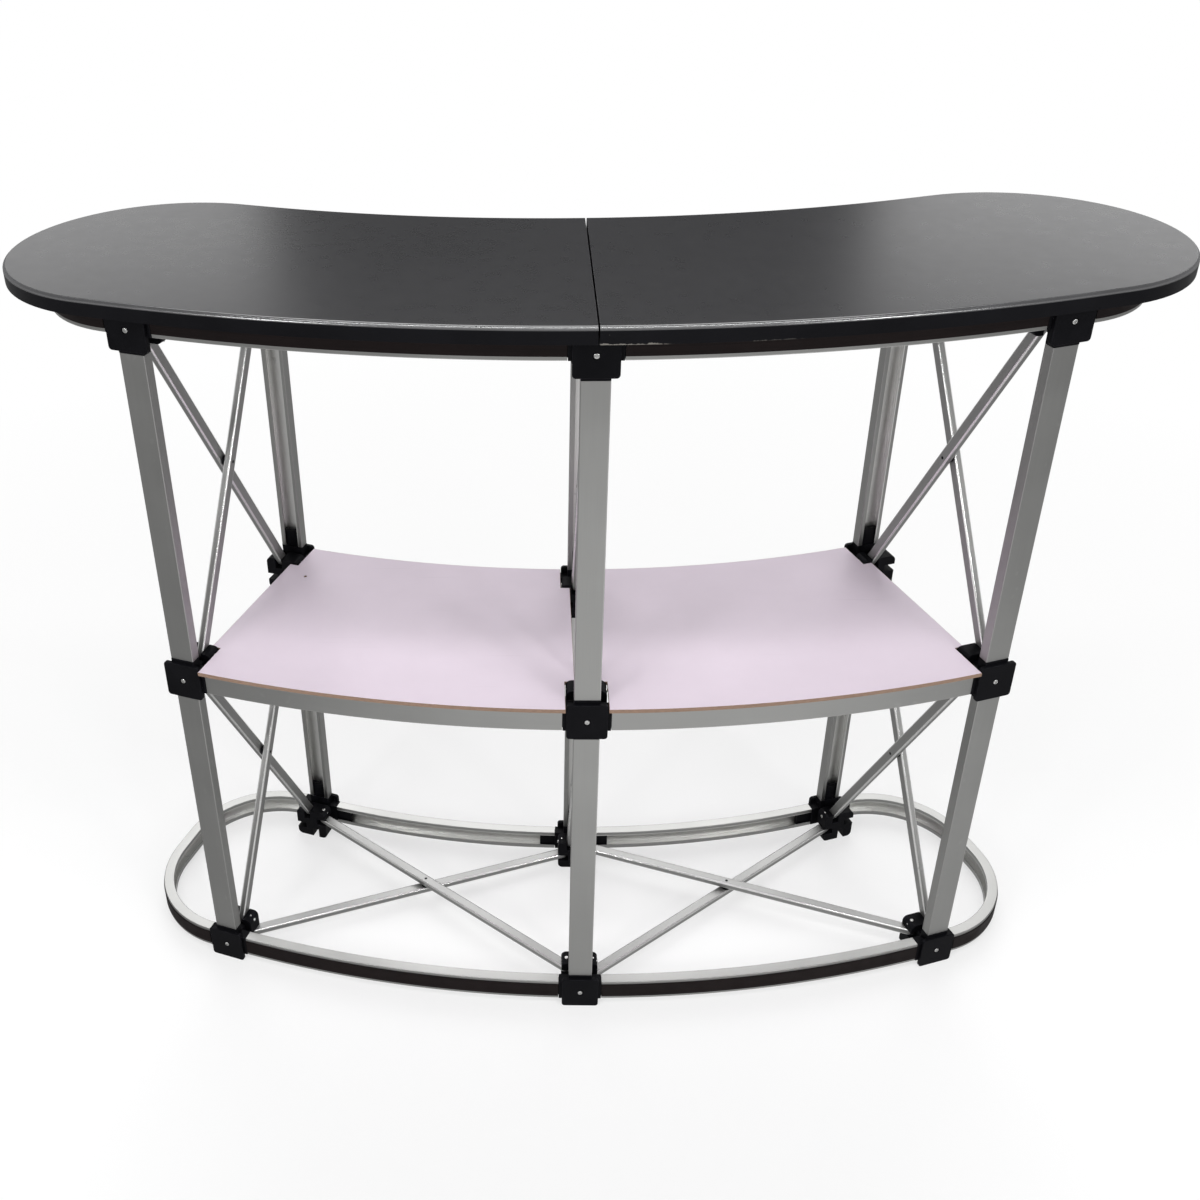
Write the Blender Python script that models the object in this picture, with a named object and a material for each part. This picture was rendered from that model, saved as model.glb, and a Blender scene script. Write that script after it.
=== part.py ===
"""Curved exhibition counter: moulded hubs, channel bars and scissor arms under a split worktop.

Metres, +Z up. The public front faces -Y and the origin lies on the floor under the middle.
The plan is a set of arcs about one centre behind the counter, closed by rounded ends.
"""

from math import asin, atan2, cos, pi, radians, sin

import bmesh
import bpy
from mathutils import Matrix, Vector

# Plan and height of the frame
FRONT_RADIUS = 1.480           # outer faces of the front hub plates
COLUMN_ANGLE = radians(18.8)   # from the middle column to a side column
FRAME_DEPTH = 0.307            # front plate face to rear plate face
BAY_HEIGHT = 0.440             # between two rows of hubs

# Moulded hub
PLATE_SIZE = 0.047
PLATE_THICKNESS = 0.005
PLATE_CORNER = 0.004
SHOULDER_STEP = 0.004          # plate's edge to the end of a channel bar
TONGUE_LENGTH = 0.022
END_TONGUE_LENGTH = 0.012      # shorter where the bar bends away at once
TONGUE_CLEARANCE = 0.0004
STEM_SIZE = 0.028
STEM_LENGTH = 0.009
CLEVIS_SIZE = 0.047
CLEVIS_DEPTH = 0.022
CLEVIS_CORNER = 0.007
PIN_OFFSET = 0.017             # hub centre to a clevis pin
PIN_DIAMETER = 0.005

# Channel bar, open to the inside
CHANNEL_WIDTH = 0.030
CHANNEL_DEPTH = 0.014
CHANNEL_WALL = 0.0016
GROOVE_WIDTH = 0.018
END_FLAT = 0.040               # straight stretch across an end, between two quarter bends

# Scissor arm
ARM_WIDTH = 0.014
ARM_THICKNESS = 0.009
ARM_EDGE = 0.0014
ARM_END_CLEARANCE = 0.001
SPACER_THICKNESS = 0.003
SPACER_DIAMETER = 0.013

# Worktop
WORKTOP_THICKNESS = 0.018
WORKTOP_EDGE = 0.004
WORKTOP_SEAM = 0.0016
FRONT_OVERHANG = 0.032
REAR_OVERHANG = 0.004
WORKTOP_END_START = 0.032      # side column to the start of the half-round end

# Shelf
SHELF_THICKNESS = 0.005
SHELF_FRONT_OVERHANG = 0.008   # beyond the outer face of the front rail
SHELF_ARM_CLEARANCE = 0.0025
SHELF_HUB_CLEARANCE = 0.001
SHELF_HOLE_DIAMETER = 0.005
SHELF_HOLE_INSET = 0.022       # hole centre from the shelf's notched corner, both ways

# Gaps and resolution
SEAT_GAP = 0.0003
FUSE_OVERLAP = 0.0005
FLAT_ANGLE = radians(0.1)      # faces closer to level than this become one
SMOOTH_ANGLE = radians(35)     # edges flatter than this are shaded smooth
WELD_DISTANCE = 1e-6
ARC_STEPS = 6                  # along one bay of an arc
END_STEPS = 14                 # round a worktop's half-round end
BEND_STEPS = 7                 # round a quarter bend of an end bar
PIN_STEPS = 6                  # round a pin or its bore
ROUND_STEPS = 8                # round an arm's two ends, a spacer or a hole
RIM_STEPS = 2                  # across the worktop's rounded rim

# Values that follow from the sizes above
REAR_RADIUS = FRONT_RADIUS - FRAME_DEPTH
MIDDLE_RADIUS = (FRONT_RADIUS + REAR_RADIUS) / 2
HUB_HALF = max(PLATE_SIZE, CLEVIS_SIZE) / 2
SHOULDER_REACH = PLATE_SIZE / 2 + SHOULDER_STEP
CHANNEL_BACK = PLATE_THICKNESS + CHANNEL_DEPTH
CLEVIS_START = CHANNEL_BACK + STEM_LENGTH
CLEVIS_END = CLEVIS_START + CLEVIS_DEPTH
PIN_DEPTH = (CLEVIS_START + CLEVIS_END) / 2
ARM_OFFSET = (ARM_THICKNESS + SPACER_THICKNESS) / 2
BAR_START = SHOULDER_REACH + SEAT_GAP
RAIL_BOW = (SHOULDER_REACH + TONGUE_LENGTH) ** 2 / (2 * REAR_RADIUS)   # off a straight tongue's tip
FACET_SAG = REAR_RADIUS * (1 - cos(COLUMN_ANGLE / ARC_STEPS / 2))
TONGUE_THICKNESS = CHANNEL_DEPTH - 2 * (CHANNEL_WALL + TONGUE_CLEARANCE + RAIL_BOW + FACET_SAG)
COLUMNS = {"left": -COLUMN_ANGLE, "centre": 0.0, "right": COLUMN_ANGLE}
ROWS = {"bottom": HUB_HALF, "middle": HUB_HALF + BAY_HEIGHT, "top": HUB_HALF + 2 * BAY_HEIGHT}
TOP_RAIL_LIFT = HUB_HALF - CHANNEL_WIDTH / 2 - SEAT_GAP   # top rails lie just under the worktop
RAIL_LIFTS = {"bottom": 0.0, "middle": 0.0, "top": TOP_RAIL_LIFT}
BAYS = {"left": ("left", "centre"), "right": ("centre", "right")}
STAGES = {"lower": ("bottom", "middle"), "upper": ("middle", "top")}
WORKTOP_FRONT = FRONT_RADIUS + FRONT_OVERHANG
WORKTOP_REAR = REAR_RADIUS - REAR_OVERHANG
SHELF_SIDE = ARM_OFFSET + ARM_THICKNESS / 2 + SHELF_ARM_CLEARANCE
SHELF_NOTCH = HUB_HALF + SHELF_HUB_CLEARANCE
SHELF_NOTCH_DEPTH = CLEVIS_END + SHELF_HUB_CLEARANCE


for stale in list(bpy.data.objects):
    bpy.data.objects.remove(stale)
PARTS = bpy.data.collections.new("exhibition_counter")
WORKSHOP = bpy.data.collections.new("workshop")
bpy.context.scene.collection.children.link(PARTS)
bpy.context.scene.collection.children.link(WORKSHOP)


def material(name, colour, roughness, metallic):
    made = bpy.data.materials.new(name)
    made.use_nodes = True
    shader = made.node_tree.nodes["Principled BSDF"]
    shader.inputs["Base Color"].default_value = (*colour, 1.0)
    shader.inputs["Roughness"].default_value = roughness
    shader.inputs["Metallic"].default_value = metallic
    return made


ALUMINIUM = material("satin_aluminium", (0.56, 0.56, 0.54), 0.35, 1.0)
MOULDING = material("black_moulding", (0.012, 0.012, 0.014), 0.45, 0.0)
WORKTOP_BLACK = material("black_laminate", (0.020, 0.020, 0.022), 0.42, 0.0)
SHELF_LAMINATE = material("pale_laminate", (0.72, 0.64, 0.74), 0.40, 0.0)


# Plan geometry

def polar(column, along, radius):
    """Plan point beside a column: `along` to the right of its radial line, `radius` from the arc centre."""
    return (radius * sin(column) + along * cos(column), along * sin(column) - radius * cos(column))


def arc_points(radius, start, end, steps):
    angles = [start + (end - start) * step / steps for step in range(steps + 1)]
    return [polar(angle, 0.0, radius) for angle in angles]


def end_points(side, front, rear):
    """Half-round end from front to rear, outside the left (-1) or right (+1) column."""
    middle = (front + rear) / 2
    reach = (front - rear) / 2
    turns = [pi / 2 - pi * step / END_STEPS for step in range(END_STEPS + 1)]
    places = [(WORKTOP_END_START + reach * cos(turn), middle + reach * sin(turn)) for turn in turns]
    return [polar(side * COLUMN_ANGLE, side * along, radius) for along, radius in places]


def kidney(front, rear):
    """Closed outline of two concentric arcs and two half-round ends."""
    outline = arc_points(front, -COLUMN_ANGLE, COLUMN_ANGLE, 2 * ARC_STEPS)
    outline += end_points(1, front, rear)
    outline += arc_points(rear, COLUMN_ANGLE, -COLUMN_ANGLE, 2 * ARC_STEPS)
    outline += reversed(end_points(-1, front, rear))
    return outline


WORKTOP_PLAN = kidney(WORKTOP_FRONT, WORKTOP_REAR)
PLAN_DEPTHS = [y for _, y in WORKTOP_PLAN]
ARC_CENTRE_Y = -(min(PLAN_DEPTHS) + max(PLAN_DEPTHS)) / 2


def placed(point, height=0.0):
    """World position of a plan point."""
    return Vector((point[0], point[1] + ARC_CENTRE_Y, height))


# Modelling tools

def add_object(name, data, collection=WORKSHOP):
    made = bpy.data.objects.new(name, data)
    collection.objects.link(made)
    return made


def baked(source):
    """Closed mesh of an object with its modifiers, in its own axes; the object is removed."""
    bpy.context.view_layer.update()
    mesh = bpy.data.meshes.new_from_object(source.evaluated_get(bpy.context.evaluated_depsgraph_get()))
    bpy.data.objects.remove(source)
    build = bmesh.new()
    build.from_mesh(mesh)
    bmesh.ops.remove_doubles(build, verts=build.verts, dist=WELD_DISTANCE)
    bmesh.ops.dissolve_degenerate(build, edges=build.edges, dist=WELD_DISTANCE)
    bmesh.ops.recalc_face_normals(build, faces=build.faces)
    build.to_mesh(mesh)
    build.free()
    return mesh


def plane_curve(name, outlines):
    curve = bpy.data.curves.new(name, "CURVE")
    curve.dimensions = "2D"
    curve.fill_mode = "BOTH"
    for outline in outlines:
        spline = curve.splines.new("POLY")
        spline.points.add(len(outline) - 1)
        for point, (x, y) in zip(spline.points, outline):
            point.co = (x, y, 0.0, 1.0)
        spline.use_cyclic_u = True
    return curve


def extruded(outlines, thickness, edge=0.0, edge_steps=1):
    """Solid of flat outlines (the later ones are holes), centred on Z, with rims of radius `edge` added."""
    curve = plane_curve("outline", outlines)
    curve.extrude = thickness / 2 - edge
    curve.bevel_depth = edge
    curve.bevel_resolution = edge_steps - 1
    return baked(add_object("outline", curve))


def block(low, high):
    """Box between two corners."""
    build = bmesh.new()
    bmesh.ops.create_cube(build, size=1.0)
    for vertex in build.verts:
        vertex.co = [(a + b) / 2 + (b - a) * c for a, b, c in zip(low, high, vertex.co)]
    mesh = bpy.data.meshes.new("block")
    build.to_mesh(mesh)
    build.free()
    return mesh


def cylinder(diameter, start, end, steps):
    """Round bar between two points."""
    axis = Vector(end) - Vector(start)
    middle = Matrix.Translation((Vector(start) + Vector(end)) / 2)
    turn = axis.to_track_quat("Z", "Y").to_matrix().to_4x4()
    build = bmesh.new()
    bmesh.ops.create_cone(build, cap_ends=True, segments=steps, radius1=diameter / 2, radius2=diameter / 2,
                          depth=axis.length, matrix=middle @ turn)
    mesh = bpy.data.meshes.new("cylinder")
    build.to_mesh(mesh)
    build.free()
    return mesh


def moved(mesh, matrix):
    mesh.transform(matrix)
    return mesh


def combined(meshes, operation="UNION"):
    """Boolean of the first mesh with each of the others."""
    body = add_object("body", meshes[0])
    tools = []
    for mesh in meshes[1:]:
        tool = add_object("tool", mesh)
        tool.hide_render = True
        tool.display_type = "WIRE"
        step = body.modifiers.new("join", "BOOLEAN")
        step.operation = operation
        step.object = tool
        tools.append(tool)
    mesh = baked(body)
    for tool in tools:
        bpy.data.objects.remove(tool)
    build = bmesh.new()
    build.from_mesh(mesh)
    bmesh.ops.dissolve_limit(build, angle_limit=FLAT_ANGLE, verts=build.verts, edges=build.edges)
    build.to_mesh(mesh)
    build.free()
    return mesh


ROOT = add_object("counter", None, PARTS)


def part(name, mesh, look, location, turn=0.0):
    """Named sub-part with its own material, placed under the counter's root."""
    mesh.name = name
    mesh.materials.clear()
    mesh.materials.append(look)
    mesh.shade_smooth()
    mesh.set_sharp_from_angle(angle=SMOOTH_ANGLE)
    made = add_object(name, mesh, PARTS)
    made.parent = ROOT
    made.location = location
    made.rotation_euler = (0.0, 0.0, turn)
    return made


# Hubs

STAND_UP = Matrix.Rotation(pi / 2, 4, "X")


def rounded_square(size, corner):
    half = size / 2
    near = half - corner
    quarter = [(half, -near), (half, near)]
    return [turned for step in range(4) for turned in (quarter_turn(point, step) for point in quarter)]


def quarter_turn(point, count):
    x, y = point
    for _ in range(count):
        x, y = -y, x
    return (x, y)


def clevis_outline():
    """Square block with a slot in each side, each set off the middle in turn like a pinwheel."""
    half = CLEVIS_SIZE / 2
    near = half - CLEVIS_CORNER
    low = -ARM_OFFSET - ARM_THICKNESS / 2 - SEAT_GAP
    high = -ARM_OFFSET + ARM_THICKNESS / 2 + SEAT_GAP
    floor = PIN_OFFSET - ARM_WIDTH / 2 - ARM_END_CLEARANCE
    side = [(half, -near), (half, low), (floor, low), (floor, high), (half, high), (half, near)]
    return [quarter_turn(point, step) for step in range(4) for point in side]


def slab(outline, start, end):
    """Outline in the hub's face plane, extruded inwards from depth `start` to `end`."""
    upright = extruded([outline], end - start)
    return moved(upright, Matrix.Translation((0.0, (start + end) / 2, 0.0)) @ STAND_UP)


def bar(direction, lift, reach, half_width, start, end):
    """Straight bar from the hub's middle towards one side of its face, raised by `lift` where it is level."""
    right, up = quarter_turn((1.0, 0.0), direction)
    across = (abs(up) * half_width, abs(right) * half_width)
    rise = abs(right) * lift
    low = (min(0.0, right * reach) - across[0], start, min(0.0, up * reach) - across[1] + rise)
    high = (max(0.0, right * reach) + across[0], end, max(0.0, up * reach) + across[1] + rise)
    return block(low, high)


def pin(direction):
    """Clevis pin across the slot on one side."""
    ends = []
    for across in (0.0, -2 * ARM_OFFSET):
        right, up = quarter_turn((PIN_OFFSET, across), direction)
        ends.append((right, PIN_DEPTH, up))
    return cylinder(PIN_DIAMETER, ends[0], ends[1], PIN_STEPS)


def hub(name, side, column, row, bars, pins):
    """`bars` maps directions, as quarter turns from the right, to tongue lengths; `pins` lists directions."""
    tongue_middle = PLATE_THICKNESS + CHANNEL_DEPTH / 2
    tongue_half = CHANNEL_WIDTH / 2 - CHANNEL_WALL - TONGUE_CLEARANCE
    solids = [slab(rounded_square(PLATE_SIZE, PLATE_CORNER), 0.0, PLATE_THICKNESS)]
    stem = STEM_SIZE / 2
    stem_ends = (PLATE_THICKNESS - FUSE_OVERLAP, CLEVIS_START + FUSE_OVERLAP)
    solids.append(block((-stem, stem_ends[0], -stem), (stem, stem_ends[1], stem)))
    solids.append(slab(clevis_outline(), CLEVIS_START, CLEVIS_END))
    for direction, tongue in bars.items():
        solids.append(bar(direction, RAIL_LIFTS[row], SHOULDER_REACH, CHANNEL_WIDTH / 2,
                          PLATE_THICKNESS - FUSE_OVERLAP, CHANNEL_BACK))
        solids.append(bar(direction, RAIL_LIFTS[row], SHOULDER_REACH + tongue, tongue_half,
                          tongue_middle - TONGUE_THICKNESS / 2, tongue_middle + TONGUE_THICKNESS / 2))
    solids += [pin(direction) for direction in pins]
    radius = FRONT_RADIUS if side == "front" else REAR_RADIUS
    turn = COLUMNS[column] if side == "front" else COLUMNS[column] + pi
    part(name, combined(solids), MOULDING, placed(polar(COLUMNS[column], 0.0, radius), ROWS[row]), turn)


RIGHT, UP, LEFT, DOWN = range(4)


def hub_links(side, column, row):
    """Bars and scissor arms that meet at one hub, by direction seen from outside."""
    outward = {"left": LEFT, "right": RIGHT} if side == "front" else {"left": RIGHT, "right": LEFT}
    inward = {"left": RIGHT, "right": LEFT} if side == "front" else {"left": LEFT, "right": RIGHT}
    vertical = {"bottom": [UP], "middle": [UP, DOWN], "top": [DOWN]}[row]
    across = [inward[column]] if column in inward else [LEFT, RIGHT]
    bars = {direction: TONGUE_LENGTH for direction in vertical + across}
    if column in outward and row != "middle":
        bars[outward[column]] = END_TONGUE_LENGTH
    pins = vertical if row == "middle" else vertical + across
    return bars, pins


def build_hubs():
    for side in ("front", "rear"):
        for column in COLUMNS:
            for row in ROWS:
                bars, pins = hub_links(side, column, row)
                hub(f"hub_{side}_{column}_{row}", side, column, row, bars, pins)


# Channel bars

def channel_section():
    """Section of a bar: x across its width, y from its outer face inwards."""
    edge = CHANNEL_WIDTH / 2
    wall = edge - CHANNEL_WALL
    lip = GROOVE_WIDTH / 2
    inside = CHANNEL_DEPTH - CHANNEL_WALL
    half = [(edge, 0.0), (edge, CHANNEL_DEPTH), (lip, CHANNEL_DEPTH), (lip, inside), (wall, inside),
            (wall, CHANNEL_WALL)]
    return half + [(-x, y) for x, y in reversed(half)]


def upright(name, side, column, stage):
    low, high = (ROWS[row] for row in STAGES[stage])
    length = high - low - 2 * BAR_START
    mesh = extruded([channel_section()], length)
    inset = -PLATE_THICKNESS if side == "front" else PLATE_THICKNESS
    radius = (FRONT_RADIUS if side == "front" else REAR_RADIUS) + inset
    turn = COLUMNS[column] if side == "front" else COLUMNS[column] + pi
    part(name, mesh, ALUMINIUM, placed(polar(COLUMNS[column], 0.0, radius), (low + high) / 2), turn)


def channel_end(build, centre, radius, inward, start):
    """Face of a channel bar's end: its outer face lies `radius` from a point in plan, at angle `start`.

    The bar is open towards that point (`inward` -1) or away from it (1).
    """
    outward = Vector((cos(start), sin(start), 0.0))
    corners = [centre + outward * (radius + inward * y) + Vector((0.0, 0.0, x)) for x, y in channel_section()]
    face = build.faces.new([build.verts.new(corner) for corner in corners])
    return [face, *face.edges, *face.verts]


def bent(build, end, centre, angle, steps):
    """Carry a bar's end face round a point in plan, and return the face that it reaches."""
    turned = bmesh.ops.spin(build, geom=end, cent=centre, axis=(0.0, 0.0, 1.0), angle=angle, steps=steps)
    return turned["geom_last"]


def carried(build, end, stretch):
    """Carry a bar's end face straight on, and return the face that it reaches."""
    moved_on = bmesh.ops.spin(build, geom=end, axis=(0.0, 0.0, 1.0), dvec=stretch, angle=0.0, steps=1)
    return moved_on["geom_last"]


def finished_bar(build):
    bmesh.ops.recalc_face_normals(build, faces=build.faces)
    mesh = bpy.data.meshes.new("channel")
    build.to_mesh(mesh)
    build.free()
    return mesh


def bay_rail(name, side, bay, row):
    first, last = (COLUMNS[column] for column in BAYS[bay])
    inward = -1 if side == "front" else 1
    radius = (FRONT_RADIUS if side == "front" else REAR_RADIUS) + inward * PLATE_THICKNESS
    trim = asin(BAR_START / min(radius, radius + inward * CHANNEL_DEPTH))
    centre = placed((0.0, 0.0))
    build = bmesh.new()
    end = channel_end(build, centre, radius, inward, first + trim - pi / 2)
    bent(build, end, centre, last - first - 2 * trim, ARC_STEPS)
    part(name, finished_bar(build), ALUMINIUM, (0.0, 0.0, ROWS[row] + RAIL_LIFTS[row]))


def end_rail(name, end, row):
    """Bar round one end: a quarter bend, a short straight stretch and another quarter bend."""
    side = {"left": -1, "right": 1}[end]
    column = side * COLUMN_ANGLE
    radius = (FRAME_DEPTH - END_FLAT) / 2 - PLATE_THICKNESS
    front, rear = (placed(polar(column, side * BAR_START, MIDDLE_RADIUS + offset))
                   for offset in (END_FLAT / 2, -END_FLAT / 2))
    build = bmesh.new()
    face = channel_end(build, front, radius, -1, column - pi / 2)
    face = bent(build, face, front, side * pi / 2, BEND_STEPS)
    face = carried(build, face, rear - front)
    bent(build, face, rear, side * pi / 2, BEND_STEPS)
    part(name, finished_bar(build), ALUMINIUM, (0.0, 0.0, ROWS[row] + RAIL_LIFTS[row]))


def build_bars():
    for side in ("front", "rear"):
        for column in COLUMNS:
            for stage in STAGES:
                upright(f"upright_{side}_{column}_{stage}", side, column, stage)
        for bay in BAYS:
            for row in ROWS:
                bay_rail(f"rail_{side}_{bay}_{row}", side, bay, row)
    for end in ("left", "right"):
        for row in ("bottom", "top"):
            end_rail(f"rail_end_{end}_{row}", end, row)


# Scissor pairs

def circle(x, y, radius, steps):
    return [(x + radius * cos(2 * pi * step / steps), y + radius * sin(2 * pi * step / steps))
            for step in range(steps)]


def arm(start, end, offset):
    """Flat arm between two pins, `offset` along the pins, with round ends and pin bores."""
    along = Vector(end) - Vector(start)
    reach = along.length / 2
    radius = ARM_WIDTH / 2 - ARM_EDGE
    turns = [-pi / 2 + 2 * pi * step / ROUND_STEPS for step in range(ROUND_STEPS // 2 + 1)]
    outline = [(reach + radius * cos(turn), radius * sin(turn)) for turn in turns]
    outline += [(-x, -y) for x, y in outline]
    bore = (PIN_DIAMETER + 2 * SEAT_GAP) / cos(pi / PIN_STEPS)
    solids = [extruded([outline], ARM_THICKNESS, ARM_EDGE)]
    for x in (-reach, reach):
        solids.append(cylinder(bore, (x, 0.0, -ARM_THICKNESS), (x, 0.0, ARM_THICKNESS), PIN_STEPS))
    middle = (Vector(start) + Vector(end)) / 2
    turn = Matrix.Rotation(atan2(along.y, along.x), 4, "Z")
    return moved(combined(solids, "DIFFERENCE"), Matrix.Translation((*middle, offset)) @ turn)


def scissor_pair(name, first, second, matrix):
    """Two arms that cross at the origin, one on each side of a spacer."""
    gap_half = SPACER_THICKNESS / 2 + FUSE_OVERLAP
    spacer = cylinder(SPACER_DIAMETER, (0.0, 0.0, -gap_half), (0.0, 0.0, gap_half), ROUND_STEPS)
    made = part(name, combined([arm(*first, ARM_OFFSET), spacer, arm(*second, -ARM_OFFSET)]), ALUMINIUM,
                matrix.translation)
    made.rotation_euler = matrix.to_euler()


def axes_matrix(right, up, origin):
    """Placement with its X and Y axes given."""
    matrix = Matrix((right, up, right.cross(up))).transposed().to_4x4()
    matrix.translation = origin
    return matrix


def standing_pair(name, column, stage):
    """Pair in the radial plane of one column, front to rear across one stage."""
    low, high = (ROWS[row] for row in STAGES[stage])
    deep = FRAME_DEPTH / 2 - PIN_DEPTH
    tall = (high - low) / 2 - PIN_OFFSET
    angle = COLUMNS[column]
    centre = placed(polar(angle, 0.0, MIDDLE_RADIUS), (low + high) / 2)
    matrix = axes_matrix(Vector((-sin(angle), cos(angle), 0.0)), Vector((0.0, 0.0, 1.0)), centre)
    scissor_pair(name, ((-deep, -tall), (deep, tall)), ((-deep, tall), (deep, -tall)), matrix)


def lying_pair(name, bay, row):
    """Level pair across one bay; it crosses nearer the rear because the front is wider."""
    half_angle = COLUMN_ANGLE / 2
    middle = sum(COLUMNS[column] for column in BAYS[bay]) / 2
    front = Vector(polar(half_angle, -PIN_OFFSET, FRONT_RADIUS - PIN_DEPTH))
    rear = Vector(polar(half_angle, -PIN_OFFSET, REAR_RADIUS + PIN_DEPTH))
    share = front.x / (front.x + rear.x)
    crossing = -(front.y + (rear.y - front.y) * share)
    far = (front.y + crossing, front.x)
    near = (rear.y + crossing, rear.x)
    centre = placed(polar(middle, 0.0, crossing), ROWS[row])
    matrix = axes_matrix(Vector((-sin(middle), cos(middle), 0.0)),
                         Vector((-cos(middle), -sin(middle), 0.0)), centre)
    scissor_pair(name, ((far[0], -far[1]), near), (far, (near[0], -near[1])), matrix)


def build_scissors():
    for column in COLUMNS:
        for stage in STAGES:
            standing_pair(f"scissor_{column}_{stage}", column, stage)
    for bay in BAYS:
        lying_pair(f"scissor_base_{bay}", bay, "bottom")
        lying_pair(f"scissor_top_{bay}", bay, "top")


# Boards

def build_worktop():
    rim = kidney(WORKTOP_FRONT - WORKTOP_EDGE, WORKTOP_REAR + WORKTOP_EDGE)
    length = 2 * max(abs(x) for x, _ in WORKTOP_PLAN)
    seat = ROWS["top"] + HUB_HALF + SEAT_GAP
    for name, side in (("worktop_left", -1), ("worktop_right", 1)):
        board = extruded([rim], WORKTOP_THICKNESS, WORKTOP_EDGE, RIM_STEPS)
        moved(board, Matrix.Translation((0.0, ARC_CENTRE_Y, 0.0)))
        near, far = sorted((side * WORKTOP_SEAM / 2, side * length))
        half = combined([board, block((near, -length, -length), (far, length, length))], "INTERSECT")
        origin = Vector((side * length / 4, 0.0, seat))
        lift = Vector((0.0, 0.0, seat + WORKTOP_THICKNESS / 2)) - origin
        part(name, moved(half, Matrix.Translation(lift)), WORKTOP_BLACK, origin)


def shelf_outline():
    """Right half of the shelf, notched round the hubs at its four corners."""
    front = FRONT_RADIUS - PLATE_THICKNESS + SHELF_FRONT_OVERHANG
    rear = REAR_RADIUS + PLATE_THICKNESS
    deep = FRONT_RADIUS - SHELF_NOTCH_DEPTH
    shallow = REAR_RADIUS + SHELF_NOTCH_DEPTH
    front_trim = asin(SHELF_NOTCH / front)
    rear_trim = asin(SHELF_NOTCH / rear)
    side = ((SHELF_NOTCH, deep), (SHELF_SIDE, deep), (SHELF_SIDE, shallow), (SHELF_NOTCH, shallow))
    outline = arc_points(front, front_trim, COLUMN_ANGLE - front_trim, ARC_STEPS)
    outline += [polar(COLUMN_ANGLE, -along, radius) for along, radius in side]
    outline += arc_points(rear, COLUMN_ANGLE - rear_trim, rear_trim, ARC_STEPS)
    outline += [polar(0.0, along, radius) for along, radius in reversed(side)]
    return outline


def build_shelf():
    seat = ROWS["middle"] + CHANNEL_WIDTH / 2 + SEAT_GAP
    hole_place = polar(COLUMN_ANGLE, -SHELF_NOTCH - SHELF_HOLE_INSET,
                       REAR_RADIUS + SHELF_NOTCH_DEPTH + SHELF_HOLE_INSET)
    hole = circle(*hole_place, SHELF_HOLE_DIAMETER / 2, ROUND_STEPS)
    for name, side, outlines in (("shelf_left", -1, [shelf_outline(), hole]),
                                 ("shelf_right", 1, [shelf_outline()])):
        sided = [[(side * x, y) for x, y in outline] for outline in outlines]
        middle = placed(polar(side * COLUMN_ANGLE / 2, 0.0, MIDDLE_RADIUS), seat)
        lift = placed((0.0, 0.0), seat + SHELF_THICKNESS / 2) - middle
        part(name, moved(extruded(sided, SHELF_THICKNESS), Matrix.Translation(lift)), SHELF_LAMINATE, middle)


build_hubs()
build_bars()
build_scissors()
build_worktop()
build_shelf()
bpy.context.view_layer.update()
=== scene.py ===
"""Looks of a curved exhibition counter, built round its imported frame.

Metres, +Z up, the public front towards -Y. Laid out as an add-on and run as a script.
"""

from math import asin, atan2, cos, pi, radians, sin

import bmesh
import bpy
from bpy.props import FloatProperty, FloatVectorProperty, IntProperty, PointerProperty
from mathutils import Matrix, Vector


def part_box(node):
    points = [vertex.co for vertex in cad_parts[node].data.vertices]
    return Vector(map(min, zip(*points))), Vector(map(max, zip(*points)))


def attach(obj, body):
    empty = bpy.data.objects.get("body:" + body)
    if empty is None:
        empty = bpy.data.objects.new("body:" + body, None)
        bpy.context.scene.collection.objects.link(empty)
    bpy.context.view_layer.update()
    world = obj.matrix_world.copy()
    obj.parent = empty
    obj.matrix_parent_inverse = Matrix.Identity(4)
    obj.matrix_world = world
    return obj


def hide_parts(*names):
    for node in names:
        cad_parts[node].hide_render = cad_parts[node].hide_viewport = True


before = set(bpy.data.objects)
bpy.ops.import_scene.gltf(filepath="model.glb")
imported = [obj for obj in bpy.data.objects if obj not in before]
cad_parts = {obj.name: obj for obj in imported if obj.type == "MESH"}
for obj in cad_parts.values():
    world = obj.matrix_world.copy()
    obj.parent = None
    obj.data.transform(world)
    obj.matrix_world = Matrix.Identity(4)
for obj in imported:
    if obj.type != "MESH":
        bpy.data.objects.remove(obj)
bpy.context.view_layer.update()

bl_info = {
    "name": "Exhibition Counter Looks",
    "version": (1, 0, 0),
    "blender": (4, 5, 0),
    "location": "3D View > Sidebar > Counter",
    "description": "Hubs, bars, arms, boards and fasteners of a folding exhibition counter, and its studio",
    "category": "Add Mesh",
}

# Names of the frame's parts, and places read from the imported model

SIDES = ("front", "rear")
COLUMNS = {"left": -1, "centre": 0, "right": 1}
ROW_NAMES = ("bottom", "middle", "top")
RING_ROWS = ("bottom", "top")
HUBS = [(side, column, row) for side in SIDES for column in COLUMNS for row in ROW_NAMES]
BAYS = {"left": ("left", "centre"), "right": ("centre", "right")}
STAGES = {"lower": ("bottom", "middle"), "upper": ("middle", "top")}
ENDS = {"left": -1, "right": 1}
RIGHT, UP, LEFT, DOWN = range(4)
# Way in which no pin head is made, up or down: towards the floor and towards the worktop
BURIED = {"bottom": -1, "top": 1}


def middle_height(node):
    low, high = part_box(node)
    return (low.z + high.z) / 2


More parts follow.
